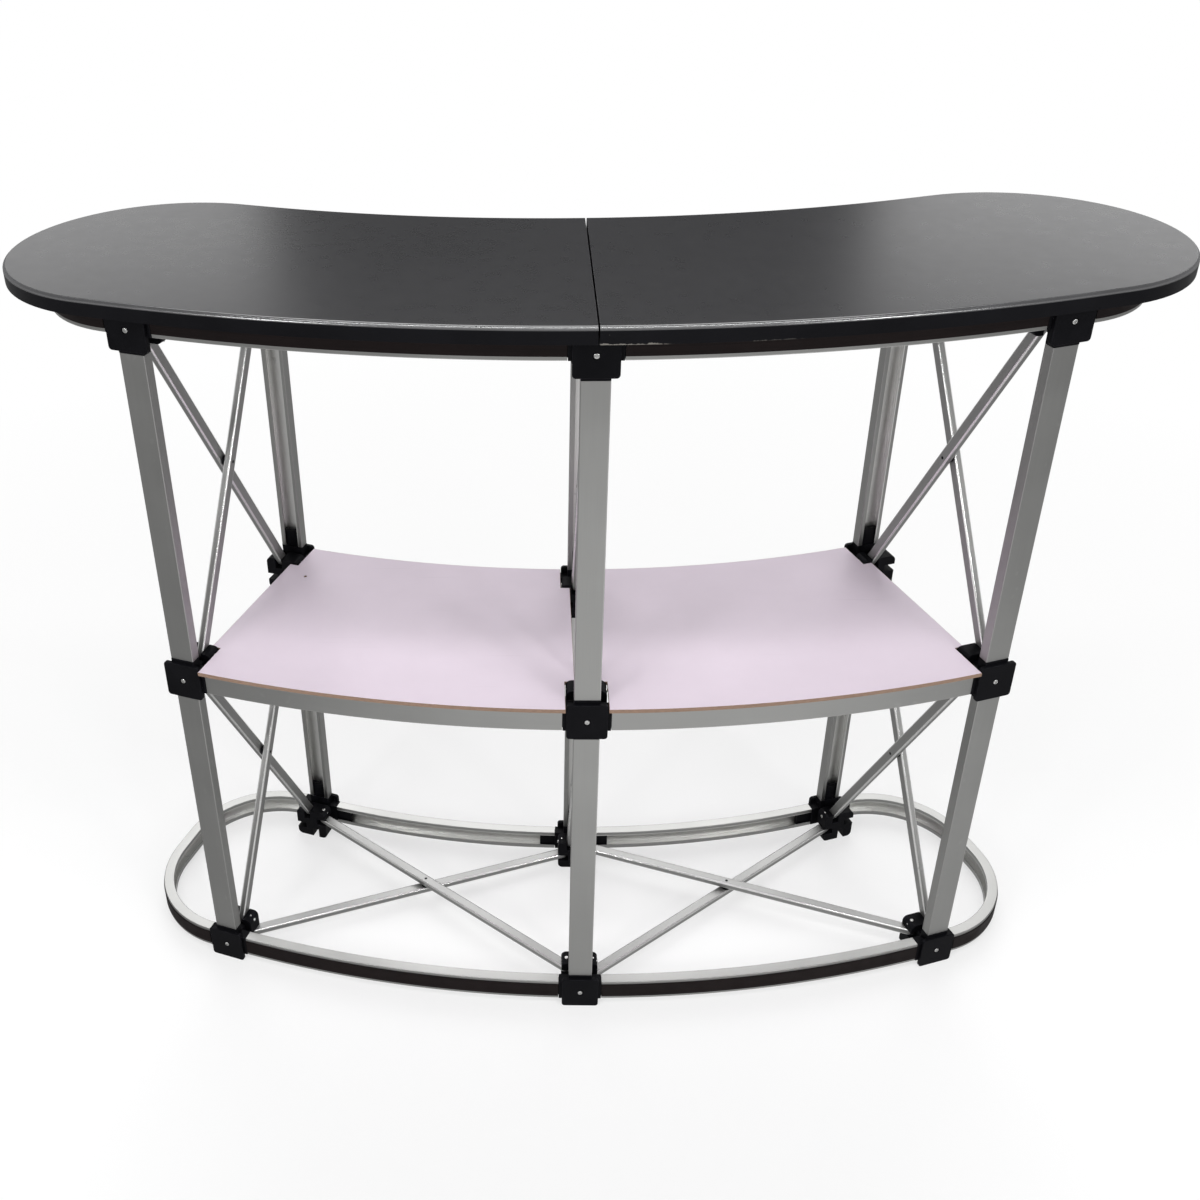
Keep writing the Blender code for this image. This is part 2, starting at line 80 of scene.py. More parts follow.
# A level scissor pair, or the middle hub, lies at its row's height; the top rails lie higher
ROWS = {"bottom": middle_height("scissor_base_left"), "middle": middle_height("hub_front_centre_middle"),
        "top": middle_height("scissor_top_left")}
RAIL_ROWS = {row: middle_height(f"rail_front_left_{row}") for row in ROW_NAMES}
FRONT_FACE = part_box("hub_front_centre_middle")[0].y
FRAME_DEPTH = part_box("hub_rear_centre_middle")[1].y - FRONT_FACE
CHANNEL_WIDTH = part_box("rail_front_left_middle")[1].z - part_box("rail_front_left_middle")[0].z
WORKTOP_LOW, WORKTOP_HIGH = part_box("worktop_right")
SHELF_LOW, SHELF_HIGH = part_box("shelf_right")

# Small fixed sizes and limits

# Fused solids of a hub run this far into each other
FUSE_OVERLAP = 0.0005
# A tongue to its bar's inner wall, an arm's end to the floor of its slot, and a spacer to its arms
TONGUE_PLAY = 0.0004
SLOT_PLAY = 0.001
SPACER_PLAY = 0.0001
# Rounded or bevelled edges of the strips and spacers
STRIP_EDGE = 0.0003
SPACER_EDGE = 0.0004
# Fastener heads start below their seats, and one head of a clevis pin sits in the clevis's side
HEAD_SINK = 0.0006
PIN_HEAD_DEPTH = 0.001
# Points closer than this are one point
MERGE_DISTANCE = 1e-6
# Neighbouring faces that turn by less than the first angle are joined; edges over the second are sharp
LEVEL_ANGLE = radians(0.1)
SHARP_ANGLE = radians(38)
# A face is flat to an axis when its normal's part along that axis is over this
FLAT_FACE = 0.985
# Faces of the worktop's rounded rim point up by more than this
RIM_FACE = 0.1
# Values that noise mostly takes
NOISE_SPAN = (0.3, 0.7)


# Sizes and colours that a user would change

def length(label, text, default):
    return FloatProperty(name=label, description=text, default=default, min=0.0, unit="LENGTH", precision=4)


def turn_angle(label, text, degrees):
    return FloatProperty(name=label, description=text, default=radians(degrees), subtype="ANGLE")


def step_count(label, text, default):
    return IntProperty(name=label, description=text, default=default, min=2)


def colour(label, text, default):
    return FloatVectorProperty(name=label, description=text, default=default, min=0.0, max=1.0,
                               subtype="COLOR")


class CounterPlan(bpy.types.PropertyGroup):
    """Plan of the counter, as its frame was built."""
    front_radius: length("Front radius", "Outer faces of the front hub plates", 1.480)
    column_angle: turn_angle("Column angle", "Middle column to a side column", 18.8)
    end_flat: length("End flat", "Straight stretch of an end bar between its two bends", 0.040)
    worktop_end: length("Worktop end start", "Side column to the start of the worktop's round end", 0.032)
    front_overhang: length("Front overhang", "Worktop beyond the front hub plates", 0.032)
    rear_overhang: length("Rear overhang", "Worktop beyond the rear hub plates", 0.004)


class CounterHub(bpy.types.PropertyGroup):
    """Moulded hub."""
    plate: length("Plate", "Side of the square face plate", 0.047)
    plate_thickness: length("Plate thickness", "Thickness of the face plate", 0.005)
    plate_corner: length("Plate corner", "Corner radius of the face plate", 0.004)
    edge: length("Edge radius", "Rounding of moulded edges", 0.0007)
    shoulder: length("Shoulder", "Plate's edge to the end of a channel bar", 0.004)
    tongue: length("Tongue", "Length of a tongue inside a bar", 0.022)
    end_tongue: length("End tongue", "Length of a tongue inside an end bar", 0.012)
    tongue_thickness: length("Tongue thickness", "Thickness of a tongue", 0.0070)
    stem: length("Stem", "Side of the square stem", 0.028)
    stem_length: length("Stem length", "Bar's inner face to the clevis block", 0.009)
    clevis: length("Clevis", "Side of the clevis block", 0.047)
    clevis_depth: length("Clevis depth", "Depth of the clevis block", 0.022)
    clevis_corner: length("Clevis corner", "Corner radius of the clevis block", 0.007)
    pin_offset: length("Pin offset", "Hub centre to a clevis pin", 0.017)
    recess: length("Screw recess", "Diameter of the recess round the plate's screw", 0.0078)
    recess_depth: length("Recess depth", "Depth of the recess round the plate's screw", 0.0008)


class CounterBar(bpy.types.PropertyGroup):
    """Channel bars, scissor arms and magnetic strips."""
    depth: length("Channel depth", "Depth of a channel bar", 0.014)
    wall: length("Channel wall", "Wall of a channel bar", 0.0016)
    groove: length("Groove", "Width of the channel's open side", 0.018)
    corner: length("Channel corner", "Rounding of a channel bar's corners", 0.0010)
    seat: length("Seat gap", "Gap between a bar and its hub", 0.0003)
    arm_width: length("Arm width", "Width of a scissor arm", 0.014)
    arm_thickness: length("Arm thickness", "Thickness of a scissor arm", 0.009)
    arm_edge: length("Arm edge", "Rounding of a scissor arm's long edges", 0.0022)
    spacer: length("Spacer", "Thickness of the disc between crossed arms", 0.003)
    spacer_diameter: length("Spacer diameter", "Diameter of the disc between crossed arms", 0.013)
    strip_width: length("Strip width", "Width of a magnetic strip", 0.021)
    strip_thickness: length("Strip thickness", "Thickness of a magnetic strip", 0.0009)
    bay_steps: step_count("Bay steps", "Steps along one bay of an arc", 40)
    bend_steps: step_count("Bend steps", "Steps round a quarter bend", 24)


class CounterBoard(bpy.types.PropertyGroup):
    """Worktop and shelf."""
    rim: length("Worktop rim", "Radius of the worktop's rounded rim", 0.004)
    rim_steps: step_count("Rim steps", "Steps across the rounded rim", 7)
    seam: length("Seam", "Gap between the worktop's halves", 0.0016)
    arris: length("Arris", "Rounding of a cut board edge", 0.0004)
    arm_clearance: length("Arm clearance", "Shelf to a scissor arm", 0.0025)
    hub_clearance: length("Hub clearance", "Shelf to a hub", 0.001)
    front_overhang: length("Shelf front overhang", "Shelf beyond the outer face of the front rail", 0.008)
    hole: length("Shelf hole", "Diameter of the hole in the left shelf half", 0.0034)
    hole_inset: length("Hole inset", "Hole from the shelf's notched corner, both ways", 0.022)


class CounterFinish(bpy.types.PropertyGroup):
    """Colours of the finishes."""
    bar: colour("Bar aluminium", "Satin anodised channel bars", (0.36, 0.36, 0.352))
    arm: colour("Arm aluminium", "Satin anodised scissor arms", (0.37, 0.37, 0.365))
    moulding: colour("Moulding", "Black moulded hubs, spacers and pegs", (0.004, 0.004, 0.005))
    worktop: colour("Worktop", "Black worktop laminate", (0.006, 0.006, 0.0075))
    band: colour("Edge band", "Black band round the worktop's edge", (0.004, 0.004, 0.005))
    shelf: colour("Shelf", "Pale shelf laminate", (0.755, 0.655, 0.75))
    fibreboard: colour("Fibreboard", "Bare edge of the shelf", (0.27, 0.18, 0.132))
    strip: colour("Strip", "Magnetic strip", (0.0072, 0.0042, 0.0042))
    steel: colour("Steel", "Screws and pin heads", (0.62, 0.62, 0.61))


class CounterStudio(bpy.types.PropertyGroup):
    """Camera and light."""
    place: FloatVectorProperty(name="Camera place", description="Where the camera stands",
                               default=(-0.0654, -1.3984, 1.4004), subtype="TRANSLATION")
    yaw: turn_angle("Yaw", "Camera turn from +Y", -2.680)
    pitch: turn_angle("Pitch", "Camera tilt downwards", 31.637)
    roll: turn_angle("Roll", "Camera roll", -1.510)
    focal_share: FloatProperty(name="Focal share", description="Focal length over image width",
                               default=1.12775)
    shift: FloatVectorProperty(name="Shift", description="Camera shift", size=2,
                               default=(0.10425, -0.01408))
    world: FloatProperty(name="World", description="Strength of the surrounding light", default=1.0)
    floor: colour("Floor", "Pale studio floor", (0.93, 0.93, 0.93))


def chosen(group):
    """Settings of one group, such as "plan" or "hub"."""
    return getattr(bpy.context.scene, f"counter_{group}")


# Plan geometry

def face_radius(side):
    """Radius of the outer faces of the front or the rear hub plates."""
    front = chosen("plan").front_radius
    return front if side == "front" else front - FRAME_DEPTH


def middle_radius():
    return (face_radius("front") + face_radius("rear")) / 2


def plan_point(column, along, radius):
    """World x and y: `along` to the right of a column's radial line, `radius` from the arc centre."""
    centre_y = FRONT_FACE + chosen("plan").front_radius
    return (radius * sin(column) + along * cos(column),
            centre_y + along * sin(column) - radius * cos(column))


def column_turn(column):
    """Angle of a column about the arc centre."""
    return COLUMNS[column] * chosen("plan").column_angle


def steps_between(start, end, steps):
    return [start + (end - start) * step / steps for step in range(steps + 1)]


def plan_arc(radius, start, end, steps):
    """Arc about the plan's centre."""
    return [plan_point(angle, 0.0, radius) for angle in steps_between(start, end, steps)]


def round_arc(x, y, radius, start, end, steps):
    """Arc about a point of its own."""
    return [(x + radius * cos(turn), y + radius * sin(turn)) for turn in steps_between(start, end, steps)]


def bar_start():
    """Hub centre to the end of a channel bar."""
    hub = chosen("hub")
    return hub.plate / 2 + hub.shoulder + chosen("bar").seat


def pin_depth():
    """Hub's outer face to its clevis pins."""
    hub = chosen("hub")
    return hub.plate_thickness + chosen("bar").depth + hub.stem_length + hub.clevis_depth / 2


def arm_offset():
    """Middle of a scissor pair to the middle of one of its arms, across the pair."""
    bar = chosen("bar")
    return (bar.arm_thickness + bar.spacer) / 2


def hub_place(side, column, row):
    """Matrix of a hub: x right and z up on its face, y inwards."""
    angle = column_turn(column)
    turn = angle if side == "front" else angle + pi
    x, y = plan_point(angle, 0.0, face_radius(side))
    return Matrix.Translation((x, y, ROWS[row])) @ Matrix.Rotation(turn, 4, "Z")


# Mesh tools

def new_object(name, data):
    made = bpy.data.objects.new(name, data)
    bpy.context.scene.collection.objects.link(made)
    return made


def taken(source):
    """Plain mesh of an object with its modifiers; the object is removed."""
    bpy.context.view_layer.update()
    mesh = bpy.data.meshes.new_from_object(source.evaluated_get(bpy.context.evaluated_depsgraph_get()))
    bpy.data.objects.remove(source)
    return mesh


def cleaned(mesh, level_angle=0.0):
    """Merge doubles, point the faces outwards and, with an angle, join faces that are level."""
    build = bmesh.new()
    build.from_mesh(mesh)
    bmesh.ops.remove_doubles(build, verts=build.verts, dist=MERGE_DISTANCE)
    if level_angle:
        bmesh.ops.dissolve_limit(build, angle_limit=level_angle, verts=build.verts, edges=build.edges)
    bmesh.ops.recalc_face_normals(build, faces=build.faces)
    build.to_mesh(mesh)
    build.free()
    return mesh


def built(build):
    """Mesh of a finished bmesh."""
    mesh = bpy.data.meshes.new("built")
    build.to_mesh(mesh)
    build.free()
    return mesh


def slab(outlines, low, high, edge, steps):
    """Solid between two heights, its outline widened by a rim of radius `edge`; more outlines are holes."""
    curve = bpy.data.curves.new("outline", "CURVE")
    curve.dimensions = "2D"
    curve.fill_mode = "BOTH"
    for outline in outlines:
        spline = curve.splines.new("POLY")
        spline.points.add(len(outline) - 1)
        for point, (x, y) in zip(spline.points, outline):
            point.co = (x, y, 0.0, 1.0)
        spline.use_cyclic_u = True
    curve.extrude = (high - low) / 2 - edge
    curve.bevel_depth = edge
    curve.bevel_resolution = steps - 1
    mesh = cleaned(taken(new_object("outline", curve)))
    return moved(mesh, Matrix.Translation((0.0, 0.0, (low + high) / 2)))


def rounded_block(low, high, edge):
    """Box between two corners, with rounded edges."""
    build = bmesh.new()
    bmesh.ops.create_cube(build, size=1.0)
    for vertex in build.verts:
        vertex.co = [(a + b) / 2 + (b - a) * c for a, b, c in zip(low, high, vertex.co)]
    bmesh.ops.bevel(build, geom=build.edges[:], offset=edge, segments=2, profile=0.5, affect="EDGES")
    return built(build)


def turned(profile, steps):
    """Solid of a profile of (radius, height) points turned about Z, from axis to axis."""
    build = bmesh.new()
    points = [build.verts.new((radius, 0.0, height)) for radius, height in profile]
    edges = [build.edges.new(pair) for pair in zip(points, points[1:])]
    bmesh.ops.spin(build, geom=[*points, *edges], cent=(0.0, 0.0, 0.0), axis=(0.0, 0.0, 1.0),
                   angle=2 * pi, steps=steps)
    return cleaned(built(build))


def combined(meshes, operation="UNION"):
    """Boolean of the first mesh with each of the others."""
    body = new_object("body", meshes[0])
    tools = [new_object("tool", mesh) for mesh in meshes[1:]]
    for tool in tools:
        step = body.modifiers.new("join", "BOOLEAN")
        step.operation = operation
        step.object = tool
    mesh = taken(body)
    for tool in tools:
        bpy.data.objects.remove(tool)
    return cleaned(mesh, LEVEL_ANGLE)


def gathered(meshes):
    """One mesh of several separate solids."""
    build = bmesh.new()
    for mesh in meshes:
        build.from_mesh(mesh)
    return built(build)


def moved(mesh, matrix):
    mesh.transform(matrix)
    return mesh


def mark_edges(mesh):
    """Face attribute `edge`: 1 on rounded edges and corners, 0 on faces square to the axes."""
    values = [float(max(abs(part) for part in face.normal) < FLAT_FACE) for face in mesh.polygons]
    mesh.attributes.new("edge", "FLOAT", "FACE").data.foreach_set("value", values)
    return mesh


def mark_points(mesh, name, vectors):
    """Point attribute with a vector for each point."""
    values = [part for vector in vectors for part in vector]
    mesh.attributes.new(name, "FLOAT_VECTOR", "POINT").data.foreach_set("vector", values)
    return mesh


def add_piece(name, mesh, looks, node=None, body="frame"):
    """Finished piece of the counter that rides on a body and may stand for a CAD node."""
    mesh.name = name
    mesh.materials.clear()
    for look in looks:
        mesh.materials.append(look)
    mesh.shade_smooth()
    mesh.set_sharp_from_angle(angle=SHARP_ANGLE)
    made = new_object(name, mesh)
    made.modifiers.new("weighted_normals", "WEIGHTED_NORMAL").keep_sharp = True
    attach(made, body)
    if node:
        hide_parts(node)
    return made


# Node trees

def once(store):
    """Make a function's data block at its first call, and find it by the function's name from then on."""
    def keep(make):
        name = make.__name__

        def found():
            blocks = getattr(bpy.data, store)
            if name not in blocks:
                make(name)
            return blocks[name]

        return found

    return keep


def put(tree, socket, value):
    """Give a socket a plain value, or link it to another node's socket."""
    if isinstance(value, bpy.types.NodeSocket):
        tree.links.new(value, socket)
    else:
        socket.default_value = (*value, 1.0) if socket.type == "RGBA" else value


def add_node(tree, kind, inputs=(), **settings):
    """Node with its settings; inputs are plain values or sockets of other nodes."""
    node = tree.nodes.new(kind)
    for name, value in settings.items():
        setattr(node, name, value)
    for label, value in dict(inputs).items():
        put(tree, node.inputs[label], value)
    return node


def new_tree(name, kind, inputs, outputs):
    """Node group with named sockets; returns the tree and the sockets that its inputs come in by."""
    tree = bpy.data.node_groups.new(name, kind)
    for way, sockets in (("INPUT", inputs), ("OUTPUT", outputs)):
        for label, socket in sockets.items():
            tree.interface.new_socket(label, in_out=way, socket_type=f"NodeSocket{socket}")
    return tree, tree.nodes.new("NodeGroupInput").outputs


def finish_tree(tree, entry, shape):
    """Realise the shape, give it its material and put it out."""
    real = add_node(tree, "GeometryNodeRealizeInstances", {"Geometry": shape.outputs[0]})
    painted = add_node(tree, "GeometryNodeSetMaterial",
                       {"Geometry": real.outputs[0], "Material": entry["Finish"]})
    add_node(tree, "NodeGroupOutput", {0: painted.outputs[0]})


@once("node_groups")
def swept_bar(name):
    """A section carried along a path; attribute `run` is how far along the path and round the section."""
    tree, entry = new_tree(name, "GeometryNodeTree",
                           {"Path": "Geometry", "Section": "Object", "Finish": "Material"},
                           {"Bar": "Geometry"})
    distance = tree.nodes.new("GeometryNodeSplineParameter").outputs["Length"]

    def measured(curve, label):
        kept = tree.nodes.new("GeometryNodeCaptureAttribute")
        kept.capture_items.new("FLOAT", label)
        tree.links.new(curve, kept.inputs[0])
        tree.links.new(distance, kept.inputs[1])
        return kept.outputs

    along = measured(entry["Path"], "Along")
    section = add_node(tree, "GeometryNodeObjectInfo", {"Object": entry["Section"]})
    around = measured(section.outputs["Geometry"], "Around")
    shape = add_node(tree, "GeometryNodeCurveToMesh",
                     {"Curve": along[0], "Profile Curve": around[0], "Fill Caps": True})
    run = add_node(tree, "ShaderNodeCombineXYZ", {"X": along[1], "Y": around[1]})
    stored = add_node(tree, "GeometryNodeStoreNamedAttribute",
                      {"Geometry": shape.outputs[0], "Name": "run", "Value": run.outputs[0]},
                      data_type="FLOAT_VECTOR", domain="POINT")
    finish_tree(tree, entry, stored)


@once("node_groups")
def set_fasteners(name):
    """A fastener set on each point, its head along the point's attribute `axis`."""
    tree, entry = new_tree(name, "GeometryNodeTree",
                           {"Points": "Geometry", "Fastener": "Object", "Finish": "Material"},
                           {"Fasteners": "Geometry"})
    axis = add_node(tree, "GeometryNodeInputNamedAttribute", {"Name": "axis"}, data_type="FLOAT_VECTOR")
    turn = add_node(tree, "FunctionNodeAlignRotationToVector", {"Vector": axis.outputs[0]}, axis="Z")
    head = add_node(tree, "GeometryNodeObjectInfo", {"Object": entry["Fastener"]})
    placed = add_node(tree, "GeometryNodeInstanceOnPoints", {
        "Points": entry["Points"], "Instance": head.outputs["Geometry"], "Rotation": turn.outputs[0],
    })
    finish_tree(tree, entry, placed)


def grown(data, tree, **values):
    """Plain mesh that a tree makes from curve or mesh data."""
    source = new_object("source", data)
    modifier = source.modifiers.new("nodes", "NODES")
    modifier.node_group = tree
    for item in tree.interface.items_tree:
        if item.in_out == "INPUT" and item.name in values:
            modifier[item.identifier] = values[item.name]
    return taken(source)


def path_curve(points):
    """Open path along which a section stays upright."""
    curve = bpy.data.curves.new("path", "CURVE")
    curve.dimensions = "3D"
    curve.twist_mode = "Z_UP"
    spline = curve.splines.new("POLY")
    spline.points.add(len(points) - 1)
    for point, place in zip(spline.points, points):
        point.co = (*place, 1.0)
    return curve


def section_object(outline):
    """Closed section: x outwards from the path and y downwards."""
    curve = path_curve([(x, y, 0.0) for x, y in outline])
    curve.splines[0].use_cyclic_u = True
    return new_object("section", curve)


def rounded_outline(corners, radius, steps=3):
    """Closed outline with rounded corners; the shorter side at a corner limits its radius."""
    outline = []
    most = 0.45
    for index, corner in enumerate(corners):
        here = Vector(corner)
        before = Vector(corners[index - 1]) - here
        after = Vector(corners[(index + 1) % len(corners)]) - here
        reach = min(radius, before.length * most, after.length * most)
        start = here + before.normalized() * reach
        end = here + after.normalized() * reach
        for share in steps_between(0.0, 1.0, steps):
            outline.append(tuple(start.lerp(here, share).lerp(here.lerp(end, share), share)))
    return outline


# Shader groups

def noise(tree, vector, scale, detail=3.0, roughness=0.5):
    node = add_node(tree, "ShaderNodeTexNoise",
                    {"Vector": vector, "Scale": scale, "Detail": detail, "Roughness": roughness})
    return node.outputs["Fac"]


def spread(tree, value, span, to=(0.0, 1.0)):
    """Map a value from one range to another and keep it inside that range."""
    labels = ("Value", "From Min", "From Max", "To Min", "To Max")
    return add_node(tree, "ShaderNodeMapRange", zip(labels, (value, *span, *to))).outputs["Result"]


def math(tree, operation, *values):
    return add_node(tree, "ShaderNodeMath", enumerate(values), operation=operation).outputs[0]


def vector_math(tree, operation, *vectors):
    return add_node(tree, "ShaderNodeVectorMath", enumerate(vectors), operation=operation).outputs


def axes_of(tree, vector):
    return add_node(tree, "ShaderNodeSeparateXYZ", {0: vector}).outputs


def mix(tree, factor, first, second):
    """Colour between two colours."""
    node = add_node(tree, "ShaderNodeMix", {"Factor": factor}, data_type="RGBA")
    ends = [socket for socket in node.inputs if socket.type == "RGBA"]
    for socket, value in zip(ends, (first, second)):
        put(tree, socket, value)
    return next(socket for socket in node.outputs if socket.type == "RGBA")


@once("node_groups")
def drawn_lines(name):
    """Fine lines along a drawn aluminium bar: `Tone` for colour and roughness, `Height` for bump."""
    tree, entry = new_tree(name, "ShaderNodeTree", {"Run": "Vector", "Fineness": "Float"},
                           {"Tone": "Float", "Height": "Float"})
    stretched = vector_math(tree, "MULTIPLY", entry["Run"], (0.004, 1.0, 1.0))[0]
    fine = noise(tree, stretched, entry["Fineness"], detail=2.0)
    cloud = noise(tree, entry["Run"], scale=11.0, detail=4.0)
    tone = spread(tree, math(tree, "ADD", fine, cloud), (0.7, 1.3))
    add_node(tree, "NodeGroupOutput", {"Tone": tone, "Height": fine})


@once("node_groups")
def moulded_grain(name):
    """Fine matt texture of a mould or a laminate press: `Height` for bump, `Speckle` for roughness."""
    tree, entry = new_tree(name, "ShaderNodeTree", {"Vector": "Vector", "Fineness": "Float"},
                           {"Height": "Float", "Speckle": "Float"})
    grain = noise(tree, entry["Vector"], entry["Fineness"], detail=2.0, roughness=0.6)
    broad = noise(tree, entry["Vector"], scale=60.0)
    add_node(tree, "NodeGroupOutput", {"Height": grain, "Speckle": broad})


@once("node_groups")
def handling_marks(name):
    """Marks of use: `Smudge` for soft patches, `Scratch` for fine crossed lines."""
    tree, entry = new_tree(name, "ShaderNodeTree", {"Vector": "Vector", "Patch Scale": "Float"},
                           {"Smudge": "Float", "Scratch": "Float"})
    patch = noise(tree, entry["Vector"], entry["Patch Scale"], detail=5.0, roughness=0.55)
    scratch = 0.0
    for turn in (0.5, -0.9, 2.1):
        lines = add_node(tree, "ShaderNodeMapping", {
            "Vector": entry["Vector"], "Rotation": (0.0, 0.0, turn), "Scale": (5.0, 260.0, 60.0),
        })
        thin = spread(tree, noise(tree, lines.outputs[0], scale=1.0, detail=1.0), (0.735, 0.78))
        scratch = math(tree, "MAXIMUM", thin, scratch)
    add_node(tree, "NodeGroupOutput", {"Smudge": spread(tree, patch, (0.35, 0.70)), "Scratch": scratch})


@once("node_groups")
def worn_edge(name):
    """Rubbed edges that are also a painted highlight: a broken-up mask along the faces that the attribute
    `edge` marks.
    """
    tree, entry = new_tree(name, "ShaderNodeTree",
                           {"Vector": "Vector", "Edge": "Float", "Amount": "Float"}, {"Wear And Highlight": "Float"})
    broken = noise(tree, entry["Vector"], scale=90.0, detail=4.0, roughness=0.65)
    patches = spread(tree, broken, (0.42, 0.62))
    worn_and_lit = math(tree, "MULTIPLY", math(tree, "MULTIPLY", patches, entry["Edge"]), entry["Amount"])
    add_node(tree, "NodeGroupOutput", {"Wear And Highlight": worn_and_lit})


# Materials

def group(tree, made, **inputs):
    """Outputs of a shader group placed in a material; inputs are numbers or sockets, with _ for a space."""
    sockets = {label.replace("_", " "): value for label, value in inputs.items()}
    return add_node(tree, "ShaderNodeGroup", sockets, node_tree=made).outputs


def new_material(name, metallic=0.0, roughness=0.5, specular=0.5):
    """A material's tree, shader and Object coordinates; plain values sit on the shader's own sockets."""
    look = bpy.data.materials.new(name)
    look.use_nodes = True
    tree = look.node_tree
    shader = tree.nodes["Principled BSDF"]
    shader.inputs["Metallic"].default_value = metallic
    shader.inputs["Roughness"].default_value = roughness
    shader.inputs["Specular IOR Level"].default_value = specular
    return tree, shader, tree.nodes.new("ShaderNodeTexCoord").outputs["Object"]


def attribute(tree, name, output):
    return add_node(tree, "ShaderNodeAttribute", attribute_name=name).outputs[output]


def paint(tree, shader, tone, rough=None):
    """Link a colour to the shader, and a roughness where it varies."""
    tree.links.new(tone, shader.inputs["Base Color"])
    if rough:
        tree.links.new(rough, shader.inputs["Roughness"])


def bump(tree, shader, height, distance, strength):
    node = add_node(tree, "ShaderNodeBump", {"Distance": distance, "Strength": strength, "Height": height})
    tree.links.new(node.outputs["Normal"], shader.inputs["Normal"])


def toned(base, factor=1.0):
    """Colour made darker or lighter."""
    return tuple(min(1.0, part * factor) for part in base)


def drawn_aluminium(name, base, rough, painted_light_part, polish=0.0):
    """Satin anodised bar with fine lines along it and handling marks; its colour is raised where the given
    mask marks, as painted light, and it is glossier there by `polish`.
    """
    tree, shader, place = new_material(name, metallic=1.0)
    run = attribute(tree, "run", "Vector")
    lines = group(tree, drawn_lines(), Run=run, Fineness=2600.0)
    marks = group(tree, handling_marks(), Vector=place, Patch_Scale=7.0)
    tone = mix(tree, lines["Tone"], toned(base, 0.95), toned(base, 1.05))
    # Where the mask marks, the colour is raised 2.1 times: painted light in the channels' insides and a
    # painted highlight on the arms' edges
    bright = painted_light_part(tree, axes_of(tree, run))
    lit_tone = mix(tree, bright, tone, toned(base, 2.1))
    faint = math(tree, "MULTIPLY", marks["Scratch"], 0.4)
    matt = math(tree, "ADD", spread(tree, lines["Tone"], (0.0, 1.0), to=(rough - 0.02, rough + 0.03)),
                spread(tree, marks["Smudge"], (0.0, 1.0), to=(0.0, 0.06)))
    polished = math(tree, "SUBTRACT", matt, math(tree, "MULTIPLY", bright, polish))
    paint(tree, shader, mix(tree, faint, lit_tone, toned(base, 1.15)), polished)
    bump(tree, shader, lines["Height"], distance=0.00001, strength=0.2)


def channel_hollow(tree, run):
    """Mask of a channel bar's inside, by the distance round its section, where the bar's colour is painted
    brighter as painted light.
    """
    bar = chosen("bar")
    lip = (CHANNEL_WIDTH - bar.groove) / 2
    start = bar.depth + lip + bar.wall
    inner_walls = 2 * (lip - bar.wall) + 2 * (bar.depth - 2 * bar.wall) + CHANNEL_WIDTH - 2 * bar.wall
    return math(tree, "MULTIPLY", math(tree, "GREATER_THAN", run["Y"], start),
                math(tree, "LESS_THAN", run["Y"], start + inner_walls))


def arm_corners(tree, run):
    """Mask of a scissor arm's four rounded long edges, where the arm's colour is painted brighter as a
    painted highlight.
    """
    bar = chosen("bar")
    reach = bar.arm_edge * 0.9
    past = [math(tree, "GREATER_THAN", math(tree, "ABSOLUTE", run[axis]), size / 2 - reach)
            for axis, size in (("Y", bar.arm_width), ("Z", bar.arm_thickness))]
    return math(tree, "MULTIPLY", *past)


@once("materials")
def satin_bar_aluminium(name):
    drawn_aluminium(name, chosen("finish").bar, rough=0.34, painted_light_part=channel_hollow)


@once("materials")
def satin_arm_aluminium(name):
    drawn_aluminium(name, chosen("finish").arm, rough=0.46, painted_light_part=arm_corners, polish=0.22)


@once("materials")
def black_moulded_plastic(name):
    """Black moulded plastic with a fine matt grain, its edges lightened in patches as rubbed wear and as a
    painted highlight.
    """
    base = chosen("finish").moulding
    tree, shader, place = new_material(name, specular=0.05)
    grain = group(tree, moulded_grain(), Vector=place, Fineness=2600.0)
    wear_and_highlight = group(tree, worn_edge(), Vector=place, Edge=attribute(tree, "edge", "Fac"), Amount=0.75)
    marks = group(tree, handling_marks(), Vector=place, Patch_Scale=30.0)
    dusty = mix(tree, marks["Smudge"], toned(base), toned(base, 1.5))
    # Edges lightened 3.2 times in patches, as rubbed wear and as a painted highlight
    paint(tree, shader, mix(tree, wear_and_highlight["Wear And Highlight"], dusty, toned(base, 3.2)),
          spread(tree, grain["Speckle"], NOISE_SPAN, to=(0.38, 0.52)))
    bump(tree, shader, grain["Height"], distance=0.00005, strength=0.6)


def seam_nicks(tree, place):
    """Mask of a few nicks in the laminate beside the seam."""
    beside = math(tree, "ABSOLUTE", axes_of(tree, place)["X"])
    close = spread(tree, beside, (0.0008, 0.0042), to=(0.30, 0.0))
    ragged = noise(tree, place, scale=150.0, detail=4.0, roughness=0.7)
    return spread(tree, math(tree, "ADD", ragged, close), (0.86, 0.92))


@once("materials")
def black_laminate(name):
    """Worktop's satin laminate: fine pebbles, wipe marks, hairline scratches and nicks at the seam."""
    base = chosen("finish").worktop
    nick_colour = (0.22, 0.21, 0.20)
    tree, shader, place = new_material(name, specular=0.38)
    grain = group(tree, moulded_grain(), Vector=place, Fineness=1500.0)
    marks = group(tree, handling_marks(), Vector=place, Patch_Scale=3.0)
    tone = mix(tree, marks["Smudge"], toned(base), toned(base, 1.10))
    faint = math(tree, "MULTIPLY", marks["Scratch"], 0.15)
    used = mix(tree, faint, tone, toned(base, 4.0))
    rough = math(tree, "ADD", spread(tree, grain["Speckle"], NOISE_SPAN, to=(0.265, 0.285)),
                 spread(tree, marks["Smudge"], (0.0, 1.0), to=(0.0, 0.015)))
    paint(tree, shader, mix(tree, seam_nicks(tree, place), used, nick_colour), rough)
    bump(tree, shader, grain["Height"], distance=0.00002, strength=0.12)


